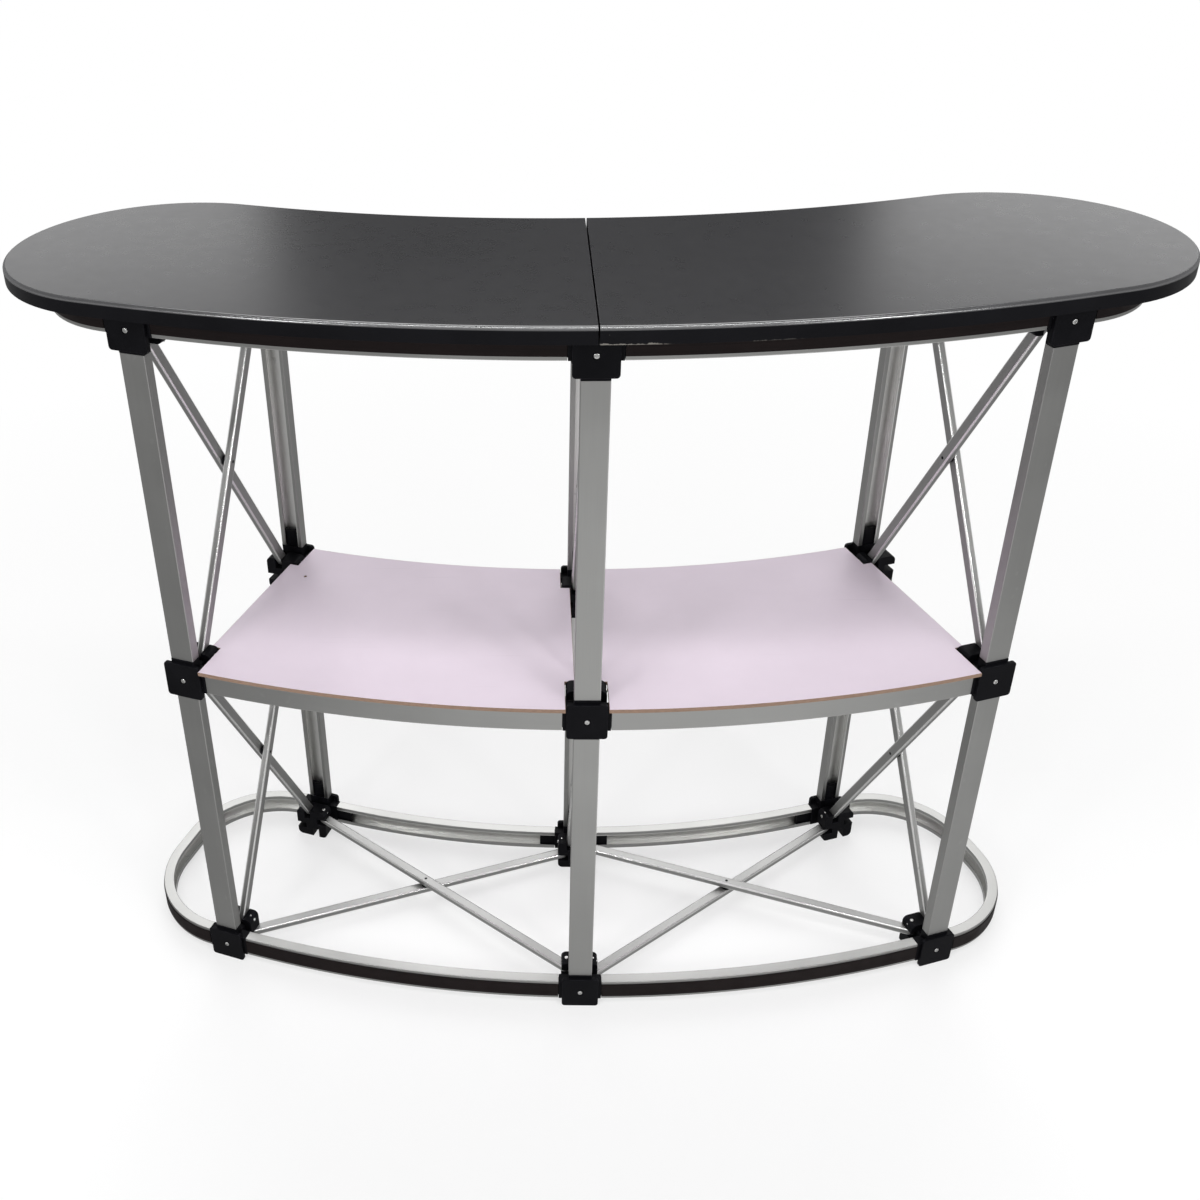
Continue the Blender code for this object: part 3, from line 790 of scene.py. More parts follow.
@once("materials")
def polished_rim(name):
    """Polished upper rim of the worktop's edge band, its colour lightened as a painted highlight."""
    base = chosen("finish").band
    tree, shader, place = new_material(name, specular=1.0)
    shader.inputs["IOR"].default_value = 1.8
    marks = group(tree, handling_marks(), Vector=place, Patch_Scale=16.0)
    # Colour two to four times the band's, varied by smudges: a painted highlight along the rim
    paint(tree, shader, mix(tree, marks["Smudge"], toned(base, 2.0), toned(base, 4.0)),
          spread(tree, marks["Smudge"], (0.0, 1.0), to=(0.22, 0.28)))


def edge_chips(tree, place):
    """Mask of ragged chips along the worktop's lower front edge, to the right of the seam."""
    axes = axes_of(tree, place)
    low = spread(tree, axes["Z"], (WORKTOP_LOW.z, WORKTOP_LOW.z + 0.0028), to=(0.42, 0.0))
    right = math(tree, "MULTIPLY", spread(tree, axes["X"], (0.0, 0.002)),
                 spread(tree, axes["X"], (0.10, 0.20), to=(1.0, 0.0)))
    front = math(tree, "MULTIPLY", right, spread(tree, axes["Y"], (-0.04, 0.0), to=(1.0, 0.0)))
    ragged = noise(tree, place, scale=190.0, detail=6.0, roughness=0.75)
    patchy = noise(tree, place, scale=26.0, detail=2.0)
    height = math(tree, "ADD", math(tree, "ADD", ragged, low), patchy)
    return math(tree, "MULTIPLY", spread(tree, height, (1.30, 1.38)), front)


@once("materials")
def black_edge_band(name):
    """Worktop's plain black edge band, chipped along one stretch of its lower edge."""
    base = chosen("finish").band
    chip_colour = (0.17, 0.16, 0.145)
    tree, shader, place = new_material(name, specular=0.07)
    grain = group(tree, moulded_grain(), Vector=place, Fineness=1500.0)
    marks = group(tree, handling_marks(), Vector=place, Patch_Scale=8.0)
    tone = mix(tree, marks["Smudge"], toned(base), toned(base, 1.6))
    paint(tree, shader, mix(tree, edge_chips(tree, place), tone, chip_colour),
          spread(tree, grain["Speckle"], NOISE_SPAN, to=(0.34, 0.44)))
    bump(tree, shader, grain["Height"], distance=0.00003, strength=0.4)


@once("materials")
def pale_laminate(name):
    """Shelf's pale laminate with a faint mottle and wipe marks."""
    base = chosen("finish").shelf
    tree, shader, place = new_material(name, specular=0.4)
    grain = group(tree, moulded_grain(), Vector=place, Fineness=1800.0)
    marks = group(tree, handling_marks(), Vector=place, Patch_Scale=9.0)
    tone = mix(tree, marks["Smudge"], toned(base, 1.02), toned(base, 0.965))
    faint = math(tree, "MULTIPLY", marks["Scratch"], 0.25)
    paint(tree, shader, mix(tree, faint, tone, toned(base, 0.8)),
          spread(tree, grain["Speckle"], NOISE_SPAN, to=(0.38, 0.48)))
    bump(tree, shader, grain["Height"], distance=0.00002, strength=0.4)


@once("materials")
def bare_fibreboard(name):
    """Sawn edge of fibreboard: fibres lie flat, so the streaks run along the edge."""
    base = chosen("finish").fibreboard
    tree, shader, place = new_material(name, roughness=0.85, specular=0.25)
    flat = add_node(tree, "ShaderNodeMapping", {"Vector": place, "Scale": (160.0, 160.0, 1900.0)})
    fibres = noise(tree, flat.outputs[0], scale=1.0, detail=4.0, roughness=0.65)
    paint(tree, shader, mix(tree, spread(tree, fibres, NOISE_SPAN), toned(base, 0.72), toned(base, 1.2)))
    bump(tree, shader, fibres, distance=0.00012, strength=0.7)


@once("materials")
def magnetic_rubber(name):
    """Dark brown magnetic rubber, slightly streaked along its length."""
    base = chosen("finish").strip
    tree, shader, place = new_material(name, specular=0.12)
    lines = group(tree, drawn_lines(), Run=attribute(tree, "run", "Vector"), Fineness=500.0)
    grain = group(tree, moulded_grain(), Vector=place, Fineness=2200.0)
    paint(tree, shader, mix(tree, lines["Tone"], toned(base, 0.75), toned(base, 1.5)),
          spread(tree, grain["Speckle"], NOISE_SPAN, to=(0.45, 0.62)))
    bump(tree, shader, grain["Height"], distance=0.00005, strength=0.6)


@once("materials")
def plated_steel(name):
    """Plated steel of screws and pin heads, a little dulled."""
    base = chosen("finish").steel
    tree, shader, place = new_material(name, metallic=1.0)
    marks = group(tree, handling_marks(), Vector=place, Patch_Scale=260.0)
    paint(tree, shader, mix(tree, marks["Smudge"], toned(base, 1.08), toned(base, 0.8)),
          spread(tree, marks["Smudge"], (0.0, 1.0), to=(0.2, 0.38)))


# Hubs

def quarter_turn(point, count):
    x, y = point
    for _ in range(count):
        x, y = -y, x
    return (x, y)


def four_sides(side):
    """Closed outline of one side's points, repeated at quarter turns."""
    return [quarter_turn(point, count) for count in range(4) for point in side]


def rounded_square(size, corner, edge):
    """Square with rounded corners, drawn in by `edge`."""
    radius = corner - edge
    middle = size / 2 - edge - radius
    return four_sides(round_arc(middle, middle, radius, 0.0, pi / 2, steps=6))


def clevis_outline(edge):
    """Square block, drawn in by `edge`, with a slot in each side, set off the middle like a pinwheel."""
    hub, bar = chosen("hub"), chosen("bar")
    half = hub.clevis / 2 - edge
    corner = hub.clevis_corner - edge
    slot_half = bar.arm_thickness / 2 + bar.seat + edge
    low, high = -arm_offset() - slot_half, -arm_offset() + slot_half
    floor = hub.pin_offset - bar.arm_width / 2 - SLOT_PLAY - edge
    side = round_arc(half - corner, -half + corner, corner, -pi / 4, 0.0, steps=3)
    side += [(half, low), (floor, low), (floor, high), (half, high)]
    side += round_arc(half - corner, half - corner, corner, 0.0, pi / 4, steps=3)[:-1]
    return four_sides(side)


def face_slab(outline, start, end, edge):
    """Outline on the hub's face, carried inwards from depth `start` to `end`."""
    return moved(slab([outline], -end, -start, edge, steps=3), Matrix.Rotation(pi / 2, 4, "X"))


def face_bar(direction, lift, reach, half_width, start, end, edge):
    """Bar from the hub's middle towards one side of its face, raised by `lift` where it is level."""
    right, up = quarter_turn((1.0, 0.0), direction)
    across = (abs(up) * half_width, abs(right) * half_width)
    rise = abs(right) * lift
    low = (min(0.0, right * reach) - across[0], start, min(0.0, up * reach) - across[1] + rise)
    high = (max(0.0, right * reach) + across[0], end, max(0.0, up * reach) + across[1] + rise)
    return rounded_block(low, high, edge)


def hub_links(side, column, row):
    """Tongue lengths and pin directions of one hub, by quarter turns from the right, seen from outside."""
    hub = chosen("hub")
    away = {"left": LEFT, "right": RIGHT} if side == "front" else {"left": RIGHT, "right": LEFT}
    vertical = {"bottom": [UP], "middle": [UP, DOWN], "top": [DOWN]}[row]
    across = [(away[column] + 2) % 4] if column in away else [LEFT, RIGHT]
    bars = {direction: hub.tongue for direction in vertical + across}
    if column in away and row in RING_ROWS:
        bars[away[column]] = hub.end_tongue
    pins = vertical + across if row in RING_ROWS else vertical
    return bars, pins


def hub_mesh(bars, lift):
    """Hub with a shoulder and a tongue for each bar, and a recess for its screw."""
    hub, bar = chosen("hub"), chosen("bar")
    edge = hub.edge
    start = hub.plate_thickness - FUSE_OVERLAP
    back = hub.plate_thickness + bar.depth
    clevis_start = back + hub.stem_length
    plate = rounded_square(hub.plate, hub.plate_corner, edge)
    solids = [face_slab(plate, 0.0, hub.plate_thickness, edge)]
    stem = hub.stem / 2
    solids.append(rounded_block((-stem, start, -stem), (stem, clevis_start + FUSE_OVERLAP, stem), edge))
    solids.append(face_slab(clevis_outline(edge), clevis_start, clevis_start + hub.clevis_depth, edge))
    reach = hub.plate / 2 + hub.shoulder
    middle = hub.plate_thickness + bar.depth / 2
    thin = hub.tongue_thickness / 2
    inside = CHANNEL_WIDTH / 2 - bar.wall - TONGUE_PLAY
    for direction, tongue in bars.items():
        solids.append(face_bar(direction, lift, reach, CHANNEL_WIDTH / 2, start, back, edge))
        solids.append(face_bar(direction, lift, reach + tongue, inside, middle - thin, middle + thin, edge))
    floor, clear, radius = -hub.recess_depth, 0.01, hub.recess / 2
    recess = turned([(0.0, floor), (radius, floor), (radius, clear), (0.0, clear)], steps=32)
    moved(recess, Matrix.Rotation(pi / 2, 4, "X"))
    return mark_edges(combined([combined(solids), recess], "DIFFERENCE"))


class COUNTER_OT_hubs(bpy.types.Operator):
    """Moulded hubs: face plate, shoulders, tongues and the four-way clevis"""
    bl_idname = "counter.hubs"
    bl_label = "Hubs"

    def execute(self, context):
        shapes = {}
        for side, column, row in HUBS:
            bars, _ = hub_links(side, column, row)
            lift = RAIL_ROWS[row] - ROWS[row]
            kind = (tuple(sorted(bars.items())), lift)
            if kind not in shapes:
                shapes[kind] = hub_mesh(bars, lift)
            node = f"hub_{side}_{column}_{row}"
            mesh = moved(shapes[kind].copy(), hub_place(side, column, row))
            add_piece(f"moulded_{node}", mesh, [black_moulded_plastic()], node)
        return {"FINISHED"}


# Channel bars and magnetic strips

def channel_outline():
    """Section of a bar: x outwards from its outer face, y across it; it starts on a corner's rounding."""
    bar = chosen("bar")
    edge = CHANNEL_WIDTH / 2
    inner = bar.depth - bar.wall
    half = [(0.0, edge), (-bar.depth, edge), (-bar.depth, bar.groove / 2), (-inner, bar.groove / 2),
            (-inner, edge - bar.wall), (-bar.wall, edge - bar.wall)]
    outline = rounded_outline(half + [(x, -y) for x, y in reversed(half)], bar.corner)
    return outline[1:] + outline[:1]


def strip_outline():
    """Section of a magnetic strip: x outwards from the rail's outer face, y across it."""
    bar = chosen("bar")
    half, thick = bar.strip_width / 2, bar.strip_thickness
    return rounded_outline([(0.0, half), (0.0, -half), (thick, -half), (thick, half)], STRIP_EDGE)


def bay_path(side, bay, row):
    """Outer face of a bay's rail, walked with the outside on the right hand."""
    bar = chosen("bar")
    first, last = (column_turn(column) for column in BAYS[bay])
    inward = -1 if side == "front" else 1
    radius = face_radius(side) + inward * chosen("hub").plate_thickness
    trim = asin(bar_start() / min(radius, radius + inward * bar.depth))
    ends = (first + trim, last - trim) if side == "front" else (last - trim, first + trim)
    return [(x, y, RAIL_ROWS[row]) for x, y in plan_arc(radius, *ends, bar.bay_steps)]


def end_path(end, row):
    """Outer face of an end rail: a quarter bend, a straight stretch and another quarter bend."""
    side = ENDS[end]
    plan, steps = chosen("plan"), chosen("bar").bend_steps
    half_flat = plan.end_flat / 2
    radius = FRAME_DEPTH / 2 - half_flat - chosen("hub").plate_thickness
    bends = [(half_flat, turn) for turn in steps_between(pi / 2, 0.0, steps)]
    bends += [(-half_flat, turn) for turn in steps_between(0.0, -pi / 2, steps)]
    points = [plan_point(side * plan.column_angle, side * (bar_start() + radius * cos(turn)),
                         middle_radius() + offset + radius * sin(turn)) for offset, turn in bends]
    return [(x, y, RAIL_ROWS[row]) for x, y in (points if side > 0 else reversed(points))]


def swept(path, section, look):
    """Bar or strip of a section carried along a path."""
    return grown(path_curve(path), swept_bar(), Section=section, Finish=look)


class COUNTER_OT_channel_bars(bpy.types.Operator):
    """Aluminium channel bars: uprights, bay rails and end rails"""
    bl_idname = "counter.channel_bars"
    bl_label = "Channel Bars"

    def execute(self, context):
        look = satin_bar_aluminium()
        section = section_object(channel_outline())
        meshes = {}
        for stage, (low, high) in STAGES.items():
            ends = [(0.0, 0.0, ROWS[low] + bar_start()), (0.0, 0.0, ROWS[high] - bar_start())]
            shape = swept(ends, section, look)
            shape.transform(Matrix.Rotation(-pi / 2, 4, "Z"))
            shape.transform(Matrix.Translation((0.0, chosen("hub").plate_thickness, -ROWS["bottom"])))
            for side in SIDES:
                for column in COLUMNS:
                    place = hub_place(side, column, "bottom")
                    meshes[f"upright_{side}_{column}_{stage}"] = moved(shape.copy(), place)
        paths = {f"rail_{side}_{bay}_{row}": bay_path(side, bay, row)
                 for side in SIDES for bay in BAYS for row in ROW_NAMES}
        paths.update({f"rail_end_{end}_{row}": end_path(end, row) for end in ENDS for row in RING_ROWS})
        for node, path in paths.items():
            meshes[node] = swept(path, section, look)
        for node, mesh in meshes.items():
            add_piece(f"bar_{node}", mesh, [look], node)
        bpy.data.objects.remove(section)
        return {"FINISHED"}


class COUNTER_OT_magnetic_strips(bpy.types.Operator):
    """Magnetic strips on the outer faces of the top and bottom rings"""
    bl_idname = "counter.magnetic_strips"
    bl_label = "Magnetic Strips"

    def execute(self, context):
        look = magnetic_rubber()
        section = section_object(strip_outline())
        for row in RING_ROWS:
            paths = [bay_path("front", bay, row) for bay in BAYS] + [end_path(end, row) for end in ENDS]
            strips = gathered([swept(path, section, look) for path in paths])
            add_piece(f"magnetic_strips_{row}", strips, [look])
        bpy.data.objects.remove(section)
        return {"FINISHED"}


# Scissor arms

def arm_mesh(start, end, offset):
    """Flat arm with round ends between two pins, with x along it in the attribute `run`."""
    bar = chosen("bar")
    along = Vector(end) - Vector(start)
    tip = round_arc(along.length / 2, 0.0, bar.arm_width / 2 - bar.arm_edge, -pi / 2, pi / 2, steps=12)
    outline = tip + [(-x, -y) for x, y in tip]
    half = bar.arm_thickness / 2
    mesh = slab([outline], -half, half, bar.arm_edge, steps=4)
    mark_points(mesh, "run", [vertex.co for vertex in mesh.vertices])
    middle = (Vector(start) + Vector(end)) / 2
    turn = Matrix.Rotation(atan2(along.y, along.x), 4, "Z")
    return moved(mesh, Matrix.Translation((*middle, offset)) @ turn)


def axes_matrix(right, up, origin):
    """Placement with its X and Y axes given."""
    right, up = Vector(right), Vector(up)
    matrix = Matrix((right, up, right.cross(up))).transposed().to_4x4()
    matrix.translation = origin
    return matrix


def standing_pair(column, stage):
    """Pins of the pair in a column's radial plane: two arms as (start, end), and the pair's placement."""
    low, high = (ROWS[row] for row in STAGES[stage])
    deep = FRAME_DEPTH / 2 - pin_depth()
    tall = (high - low) / 2 - chosen("hub").pin_offset
    angle = column_turn(column)
    centre = (*plan_point(angle, 0.0, middle_radius()), (low + high) / 2)
    matrix = axes_matrix((-sin(angle), cos(angle), 0.0), (0.0, 0.0, 1.0), centre)
    return ((-deep, -tall), (deep, tall)), ((-deep, tall), (deep, -tall)), matrix


def lying_pair(bay, row):
    """Pins of the level pair across a bay, which crosses nearer the rear because the front is wider."""
    half = chosen("plan").column_angle / 2
    angle = sum(column_turn(column) for column in BAYS[bay]) / 2
    offset = chosen("hub").pin_offset
    centre_y = FRONT_FACE + chosen("plan").front_radius
    front = Vector(plan_point(half, -offset, face_radius("front") - pin_depth()))
    rear = Vector(plan_point(half, -offset, face_radius("rear") + pin_depth()))
    crossing = front.y + (rear.y - front.y) * front.x / (front.x + rear.x)
    far, near = front.y - crossing, rear.y - crossing
    centre = (*plan_point(angle, 0.0, centre_y - crossing), ROWS[row])
    matrix = axes_matrix((-sin(angle), cos(angle), 0.0), (-cos(angle), -sin(angle), 0.0), centre)
    return ((far, -front.x), (near, rear.x)), ((far, front.x), (near, -rear.x)), matrix


def scissor_pairs():
    """Every pair by its node's name."""
    pairs = {f"scissor_{column}_{stage}": standing_pair(column, stage)
             for column in COLUMNS for stage in STAGES}
    for level, row in (("base", "bottom"), ("top", "top")):
        pairs.update({f"scissor_{level}_{bay}": lying_pair(bay, row) for bay in BAYS})
    return pairs


def spacer_disc():
    """Disc between crossed arms, with a small bevel round each face."""
    bar = chosen("bar")
    half, radius = bar.spacer / 2 - SPACER_PLAY, bar.spacer_diameter / 2
    upper = [(radius, half - SPACER_EDGE), (radius - SPACER_EDGE, half), (0.0, half)]
    return turned([(x, -z) for x, z in reversed(upper)] + upper, steps=24)


class COUNTER_OT_scissor_arms(bpy.types.Operator):
    """Crossed scissor arms, with a black spacer where each pair crosses"""
    bl_idname = "counter.scissor_arms"
    bl_label = "Scissor Arms"

    def execute(self, context):
        spacers = []
        for node, (first, second, matrix) in scissor_pairs().items():
            arms = gathered([arm_mesh(*first, arm_offset()), arm_mesh(*second, -arm_offset())])
            add_piece(f"arms_{node}", moved(arms, matrix), [satin_arm_aluminium()], node)
            spacers.append(moved(spacer_disc(), matrix))
        add_piece("arm_spacers", mark_edges(gathered(spacers)), [black_moulded_plastic()])
        return {"FINISHED"}


# Boards

def worktop_outline(inset):
    """Outline of the whole worktop, drawn in by `inset`: two arcs and two half-round ends."""
    plan, bar = chosen("plan"), chosen("bar")
    front = face_radius("front") + plan.front_overhang - inset
    rear = face_radius("rear") - plan.rear_overhang + inset
    middle, reach = (front + rear) / 2, (front - rear) / 2
    turns = steps_between(pi / 2, -pi / 2, 2 * bar.bend_steps)

    def end(side):
        return [plan_point(side * plan.column_angle, side * (plan.worktop_end + reach * cos(turn)),
                           middle + reach * sin(turn)) for turn in turns]

    angle, steps = plan.column_angle, 2 * bar.bay_steps
    outline = plan_arc(front, -angle, angle, steps) + end(1)
    return outline + plan_arc(rear, angle, -angle, steps) + end(-1)[::-1]


def cut_flat(mesh, place, normal):
    """Part of a board on the side of a plane that `normal` points to, closed and with a fine arris."""
    build = bmesh.new()
    build.from_mesh(mesh)
    cut = bmesh.ops.bisect_plane(build, geom=[*build.verts, *build.edges, *build.faces],
                                 dist=MERGE_DISTANCE, plane_co=place, plane_no=normal, clear_inner=True)
    loop = [part for part in cut["geom_cut"] if isinstance(part, bmesh.types.BMEdge)]
    filled = bmesh.ops.edgeloop_fill(build, edges=loop)
    rim = [edge for face in filled["faces"] for edge in face.edges]
    bmesh.ops.bevel(build, geom=rim, offset=chosen("board").arris, segments=2, profile=0.5, affect="EDGES")
    bmesh.ops.recalc_face_normals(build, faces=build.faces)
    return built(build)


def add_board(node, mesh, looks, look_of):
    """Board piece on its own body; `look_of` gives a face's look from how far the face points up."""
    made = add_piece(f"board_{node}", mesh, looks, node, body=node)
    for face in made.data.polygons:
        face.material_index = look_of(face.normal.z)


class COUNTER_OT_worktop(bpy.types.Operator):
    """Two black worktop halves with a rounded rim and a straight seam"""
    bl_idname = "counter.worktop"
    bl_label = "Worktop"

    def execute(self, context):
        board = chosen("board")
        looks = [black_laminate(), polished_rim(), black_edge_band()]
        # Made deeper than it is, so that the cut takes the lower rim off
        below = WORKTOP_LOW.z - 2 * board.rim
        rounded = slab([worktop_outline(board.rim)], below, WORKTOP_HIGH.z, board.rim, board.rim_steps)
        whole = cut_flat(rounded, (0.0, 0.0, WORKTOP_LOW.z), (0.0, 0.0, 1.0))
        for end, side in ENDS.items():
            half = cut_flat(whole, (side * board.seam / 2, 0.0, 0.0), (side, 0.0, 0.0))
            add_board(f"worktop_{end}", half, looks,
                      lambda up: 0 if up > FLAT_FACE else 1 if up > RIM_FACE else 2)
        return {"FINISHED"}


def shelf_notch():
    """Side and depth of the notch that the shelf has round a hub."""
    hub, clear = chosen("hub"), chosen("board").hub_clearance
    return max(hub.plate, hub.clevis) / 2 + clear, pin_depth() + hub.clevis_depth / 2 + clear


def shelf_outline(inset):
    """Right half of the shelf, notched round the hubs at its four corners; drawn in by `inset`."""
    plan, bar, board = (chosen(name) for name in ("plan", "bar", "board"))
    plate = chosen("hub").plate_thickness
    notch, depth = (size + inset for size in shelf_notch())
    side = arm_offset() + bar.arm_thickness / 2 + board.arm_clearance + inset
    front = face_radius("front") - plate + board.front_overhang - inset
    rear = face_radius("rear") + plate + inset
    near_front, near_rear = face_radius("front") - depth, face_radius("rear") + depth
    front_trim, rear_trim = asin(notch / front), asin(notch / rear)
    corners = ((notch, near_front), (side, near_front), (side, near_rear), (notch, near_rear))
    angle = plan.column_angle
    outline = plan_arc(front, front_trim, angle - front_trim, bar.bay_steps)
    outline += [plan_point(angle, -along, radius) for along, radius in corners]
    outline += plan_arc(rear, angle - rear_trim, rear_trim, bar.bay_steps)
    return outline + [plan_point(0.0, along, radius) for along, radius in reversed(corners)]


def shelf_hole(inset):
    """Small hole near the shelf half's outer rear corner."""
    board = chosen("board")
    notch, depth = shelf_notch()
    x, y = plan_point(chosen("plan").column_angle, -notch - board.hole_inset,
                      face_radius("rear") + depth + board.hole_inset)
    return round_arc(x, y, board.hole / 2 + inset, 0.0, 2 * pi, steps=24)[:-1]


class COUNTER_OT_shelf(bpy.types.Operator):
    """Two pale shelf halves with bare fibreboard edges"""
    bl_idname = "counter.shelf"
    bl_label = "Shelf"

    def execute(self, context):
        arris = chosen("board").arris
        looks = [pale_laminate(), bare_fibreboard()]
        outlines = {"left": [shelf_outline(arris), shelf_hole(arris)], "right": [shelf_outline(arris)]}
        for end, side in ENDS.items():
            sided = [[(side * x, y) for x, y in outline] for outline in outlines[end]]
            half = slab(sided, SHELF_LOW.z, SHELF_HIGH.z, arris, steps=2)
            add_board(f"shelf_{end}", half, looks, lambda up: 0 if abs(up) > FLAT_FACE else 1)
        return {"FINISHED"}


# Fasteners

# Heads from their rims to the axis, in shares of their radius and height
DOME = ((1.0, 0.35), (0.92, 0.62), (0.7, 0.88), (0.4, 1.0), (0.26, 0.9), (0.0, 0.82))
PAN_HEAD = ((1.0, 0.30), (0.95, 0.55), (0.80, 0.82), (0.5, 0.96), (0.0, 1.0))


def fastener_head(form, radius, height, steps=20):
    """Turned head that starts below its seat."""
    profile = [(0.0, -HEAD_SINK), (radius, -HEAD_SINK)]
    return turned(profile + [(radius * across, height * up) for across, up in form], steps)


def cross_screw(radius, height):
    """Pan head with a cross recess."""
    long_half, short_half = radius * 0.58, radius * 0.12
    floor = height * 0.25
    blades = [rounded_block((-a, -b, floor), (a, b, height * 2), edge=radius * 0.05)
              for a, b in ((long_half, short_half), (short_half, long_half))]
    return combined([fastener_head(PAN_HEAD, radius, height, steps=28), *blades], "DIFFERENCE")


def points_mesh(places):
    """Loose points with the attribute `axis`, from (place, direction) pairs."""
    mesh = bpy.data.meshes.new("points")
    mesh.from_pydata([place for place, _ in places], [], [])
    return mark_points(mesh, "axis", [direction for _, direction in places])


def seat(matrix, place, direction):
    """A fastener's place and direction, moved by a matrix."""
    return (matrix @ Vector(place), matrix.to_3x3() @ Vector(direction))


def pin_head(matrix, direction, step):
    """One head of the pin across a clevis slot of a hub."""
    hub = chosen("hub")
    reach = hub.clevis / 2 - PIN_HEAD_DEPTH if step > 0 else -hub.clevis / 2
    right, up = quarter_turn((hub.pin_offset, reach), direction)
    right_way, up_way = quarter_turn((0.0, step), direction)
    return seat(matrix, (right, pin_depth(), up), (right_way, 0.0, up_way))


class COUNTER_OT_fasteners(bpy.types.Operator):
    """Plate screws, clevis pin heads and the ends of the spacers' pegs in the arms"""
    bl_idname = "counter.fasteners"
    bl_label = "Fasteners"

    def execute(self, context):
        screws, pins, pegs = [], [], []
        for side, column, row in HUBS:
            matrix = hub_place(side, column, row)
            screws.append(seat(matrix, (0.0, chosen("hub").recess_depth, 0.0), (0.0, -1.0, 0.0)))
            heads = [pin_head(matrix, direction, step)
                     for direction in hub_links(side, column, row)[1] for step in (-1, 1)]
            pins += [head for head in heads if round(head[1].z) != BURIED.get(row)]
        face = arm_offset() + chosen("bar").arm_thickness / 2
        for _, _, matrix in scissor_pairs().values():
            pegs += [seat(matrix, (0.0, 0.0, step * face), (0.0, 0.0, step)) for step in (-1, 1)]
        steel = plated_steel(), "arm_aluminium"
        plastic = black_moulded_plastic(), "black_moulding"
        kinds = {"plate_screws": (screws, cross_screw(radius=0.0030, height=0.0012), *steel),
                 "clevis_pins": (pins, fastener_head(DOME, radius=0.0024, height=0.0009), *steel),
                 "spacer_pegs": (pegs, fastener_head(DOME, radius=0.0019, height=0.0004), *plastic)}
        for name, (places, head, look, slot) in kinds.items():
            pattern = new_object("pattern", head)
            mesh = grown(points_mesh(places), set_fasteners(), Fastener=pattern, Finish=look)
            bpy.data.objects.remove(pattern)
            add_piece(name, mesh, [look])
        return {"FINISHED"}


# Stage

# Each lamp's place, the point it faces, its size and its watts
LAMPS = {
    "overhead_strip": ((0.0, -0.9, 2.9), (0.0, 0.0, 0.9), (2.6, 0.25), 27.0),
    "front_high": ((0.0, -2.2, 2.6), (0.0, 0.0, 0.5), (2.4, 0.6), 8.0),
    "front_left": ((-1.9, -2.5, 1.75), (0.0, 0.0, 0.5), (0.45, 0.45), 17.0),
    "front_right": ((1.9, -2.5, 1.75), (0.0, 0.0, 0.5), (0.45, 0.45), 17.0),
    "rear_left": ((-1.6, 3.1, 1.86), (-0.5, 0.1, 0.94), (1.3, 0.9), 5.2),
    "rear_right": ((1.9, 3.1, 1.86), (0.5, 0.1, 0.94), (1.6, 0.9), 7.2),
}
FLOOR_SIZE = 20.0
WHITE = (1.0, 1.0, 1.0)


def grey(level):
    return (level, level, level)


def area_lamp(name, place, target, size, watts):
    """Rectangular lamp that faces a point."""
    data = bpy.data.lights.new(name, "AREA")
    data.shape = "RECTANGLE"
    data.size, data.size_y = size
    data.energy = watts
    lamp = new_object(name, data)
    lamp.location = place
    lamp.rotation_euler = (Vector(target) - Vector(place)).to_track_quat("-Z", "Y").to_euler()


def ray_kinds(tree):
    """Light Path's outputs, and a mask of the rays that see a surface straight or through glass."""
    rays = tree.nodes.new("ShaderNodeLightPath").outputs
    return rays, math(tree, "MAXIMUM", rays["Is Camera Ray"], rays["Is Transmission Ray"])


@once("materials")
def pale_floor(name):
    """Pale floor that turns white away from the counter; what metal mirrors of it is brightest in front."""
    base = chosen("studio").floor
    bright_place, dim_grey = (0.35, -1.25, 0.0), grey(0.4)
    tree, shader, place = new_material(name, roughness=0.8, specular=0.2)
    paint(tree, shader, mix(tree, noise(tree, place, scale=0.7), toned(base, 0.99), toned(base, 1.01)))
    rays, seen = ray_kinds(tree)
    away = spread(tree, vector_math(tree, "LENGTH", place)["Value"], (0.8, 2.2), to=(0.6, 1.0))
    share = math(tree, "MAXIMUM", rays["Is Glossy Ray"], math(tree, "MULTIPLY", seen, away))
    distance = vector_math(tree, "DISTANCE", place, bright_place)["Value"]
    mirrored = mix(tree, spread(tree, distance, (0.5, 1.5)), WHITE, dim_grey)
    shine = mix(tree, rays["Is Camera Ray"], mirrored, WHITE)
    glow = add_node(tree, "ShaderNodeEmission", {"Color": shine})
    blend = add_node(tree, "ShaderNodeMixShader", {0: share, 1: shader.outputs[0], 2: glow.outputs[0]})
    tree.links.new(blend.outputs[0], tree.nodes["Material Output"].inputs["Surface"])


def facing(tree, way, target, outer, inner):
    """Mask round a direction, from 0 at `outer` degrees from it to 1 within `inner` degrees."""
    towards = vector_math(tree, "DOT_PRODUCT", way, Vector(target).normalized())["Value"]
    return spread(tree, towards, (cos(radians(outer)), cos(radians(inner))))


def surroundings(tree, way):
    """Soft light from a direction: pale in front, lower behind and above, lowest low behind the counter."""
    axes = axes_of(tree, way)
    level = mix(tree, spread(tree, axes["Y"], (-0.2, 0.8)), grey(0.85), (0.42, 0.42, 0.425))
    soft = mix(tree, spread(tree, axes["Z"], (0.05, 0.55)), level, grey(0.40))
    low_behind = facing(tree, way, (0.03, 0.95, 0.31), outer=26, inner=9)
    dimmed = mix(tree, low_behind, soft, (0.10, 0.10, 0.105))
    high_behind = facing(tree, way, (0.0, 0.63, 0.78), outer=25, inner=17)
    return mix(tree, high_behind, dimmed, grey(3.1))


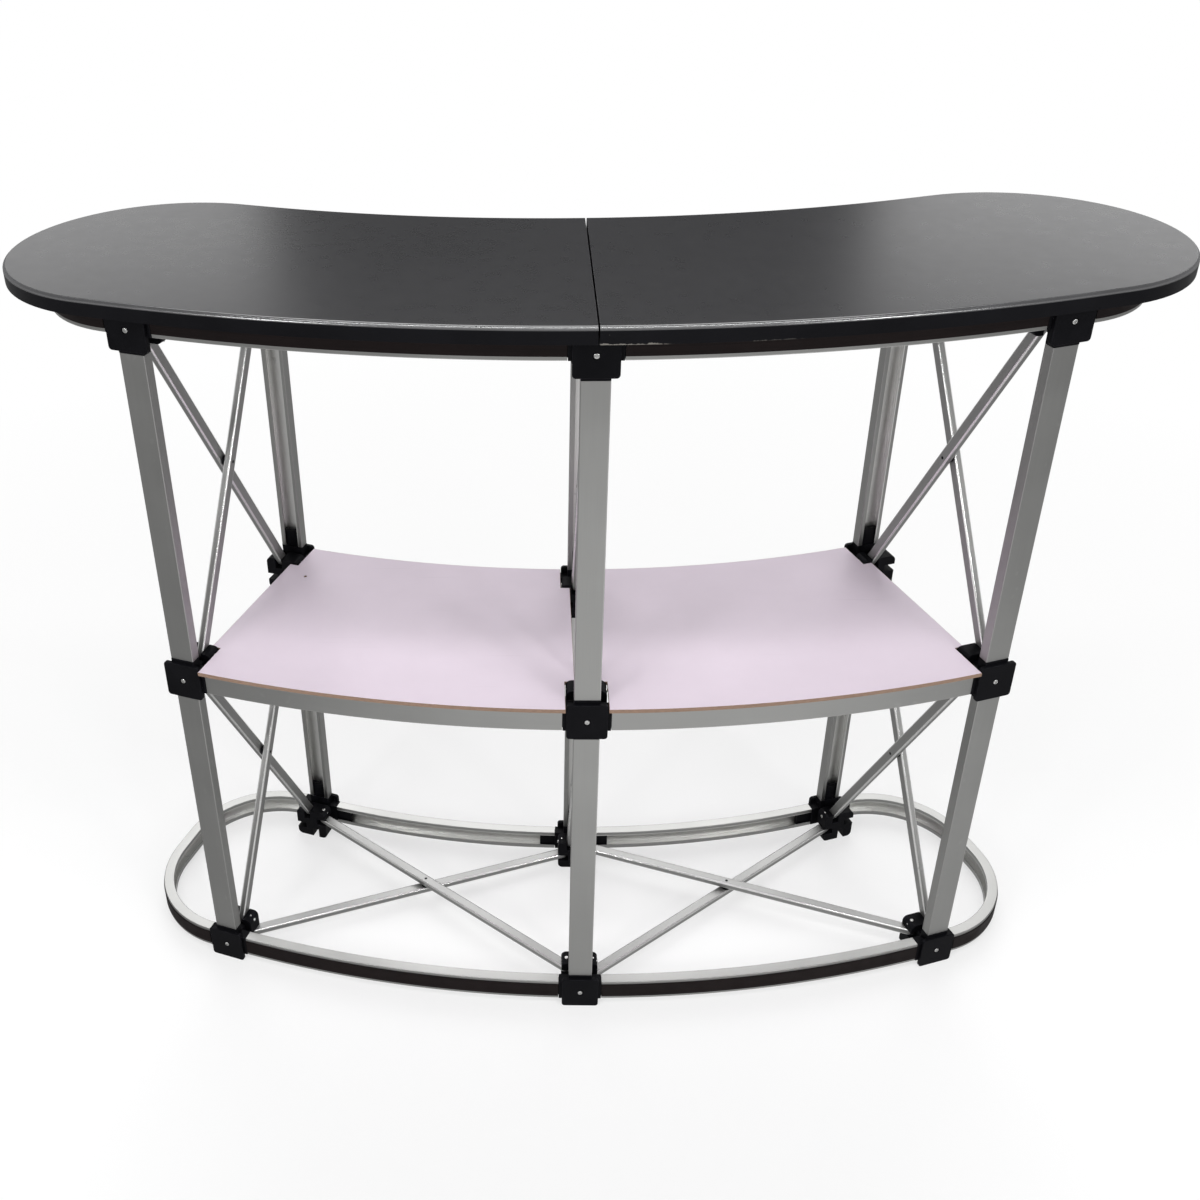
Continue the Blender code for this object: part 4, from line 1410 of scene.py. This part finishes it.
class COUNTER_OT_stage(bpy.types.Operator):
    """Pale floor, soft studio light and the camera"""
    bl_idname = "counter.stage"
    bl_label = "Stage"

    def execute(self, context):
        self.floor()
        self.world(context.scene)
        for name, settings in LAMPS.items():
            area_lamp(name, *settings)
        self.camera(context.scene)
        context.scene.view_settings.view_transform = "Standard"
        return {"FINISHED"}

    def floor(self):
        build = bmesh.new()
        bmesh.ops.create_grid(build, x_segments=1, y_segments=1, size=FLOOR_SIZE)
        floor = new_object("studio_floor", built(build))
        floor.data.materials.append(pale_floor())

    def world(self, scene):
        """White to the camera; light and reflections see it graded, with a bright patch high behind."""
        world = bpy.data.worlds.new("studio")
        world.use_nodes = True
        tree = world.node_tree
        way = tree.nodes.new("ShaderNodeTexCoord").outputs["Generated"]
        _, seen = ray_kinds(tree)
        background = tree.nodes["Background"]
        tree.links.new(mix(tree, seen, surroundings(tree, way), WHITE), background.inputs["Color"])
        background.inputs["Strength"].default_value = chosen("studio").world
        scene.world = world

    def camera(self, scene):
        """Camera at the photograph's place and angle."""
        studio = chosen("studio")
        forward = Vector((sin(studio.yaw) * cos(studio.pitch), cos(studio.yaw) * cos(studio.pitch),
                          -sin(studio.pitch)))
        right = Vector((cos(studio.yaw), -sin(studio.yaw), 0.0))
        up = right.cross(forward)
        rolled_right = right * cos(studio.roll) + up * sin(studio.roll)
        rolled_up = up * cos(studio.roll) - right * sin(studio.roll)
        data = bpy.data.cameras.new("photo_view")
        data.sensor_fit = "HORIZONTAL"
        data.lens = data.sensor_width * studio.focal_share
        data.shift_x, data.shift_y = studio.shift
        camera = new_object("photo_view", data)
        matrix = Matrix((rolled_right, rolled_up, -forward)).transposed().to_4x4()
        matrix.translation = studio.place
        camera.matrix_world = matrix
        scene.camera = camera


# Panel and registration

STEPS = (COUNTER_OT_hubs, COUNTER_OT_channel_bars, COUNTER_OT_magnetic_strips, COUNTER_OT_scissor_arms,
         COUNTER_OT_worktop, COUNTER_OT_shelf, COUNTER_OT_fasteners, COUNTER_OT_stage)
GROUPS = {"plan": CounterPlan, "hub": CounterHub, "bar": CounterBar, "board": CounterBoard,
          "finish": CounterFinish, "studio": CounterStudio}


class COUNTER_PT_looks(bpy.types.Panel):
    """Steps that dress the counter, with their sizes and colours"""
    bl_idname = "COUNTER_PT_looks"
    bl_label = "Exhibition Counter"
    bl_space_type = "VIEW_3D"
    bl_region_type = "UI"
    bl_category = "Counter"

    def draw(self, context):
        for step in STEPS:
            self.layout.operator(step.bl_idname)
        for name in GROUPS:
            settings = chosen(name)
            box = self.layout.box()
            box.label(text=name.title())
            for field in settings.__annotations__:
                box.prop(settings, field)


def register():
    for kind in (*GROUPS.values(), *STEPS, COUNTER_PT_looks):
        bpy.utils.register_class(kind)
    for name, kind in GROUPS.items():
        setattr(bpy.types.Scene, f"counter_{name}", PointerProperty(type=kind))


def unregister():
    for name in GROUPS:
        delattr(bpy.types.Scene, f"counter_{name}")
    for kind in (COUNTER_PT_looks, *reversed(STEPS), *reversed(GROUPS.values())):
        bpy.utils.unregister_class(kind)


def main():
    register()
    for step in STEPS:
        family, action = step.bl_idname.split(".")
        getattr(getattr(bpy.ops, family), action)()


if __name__ == "__main__":
    main()
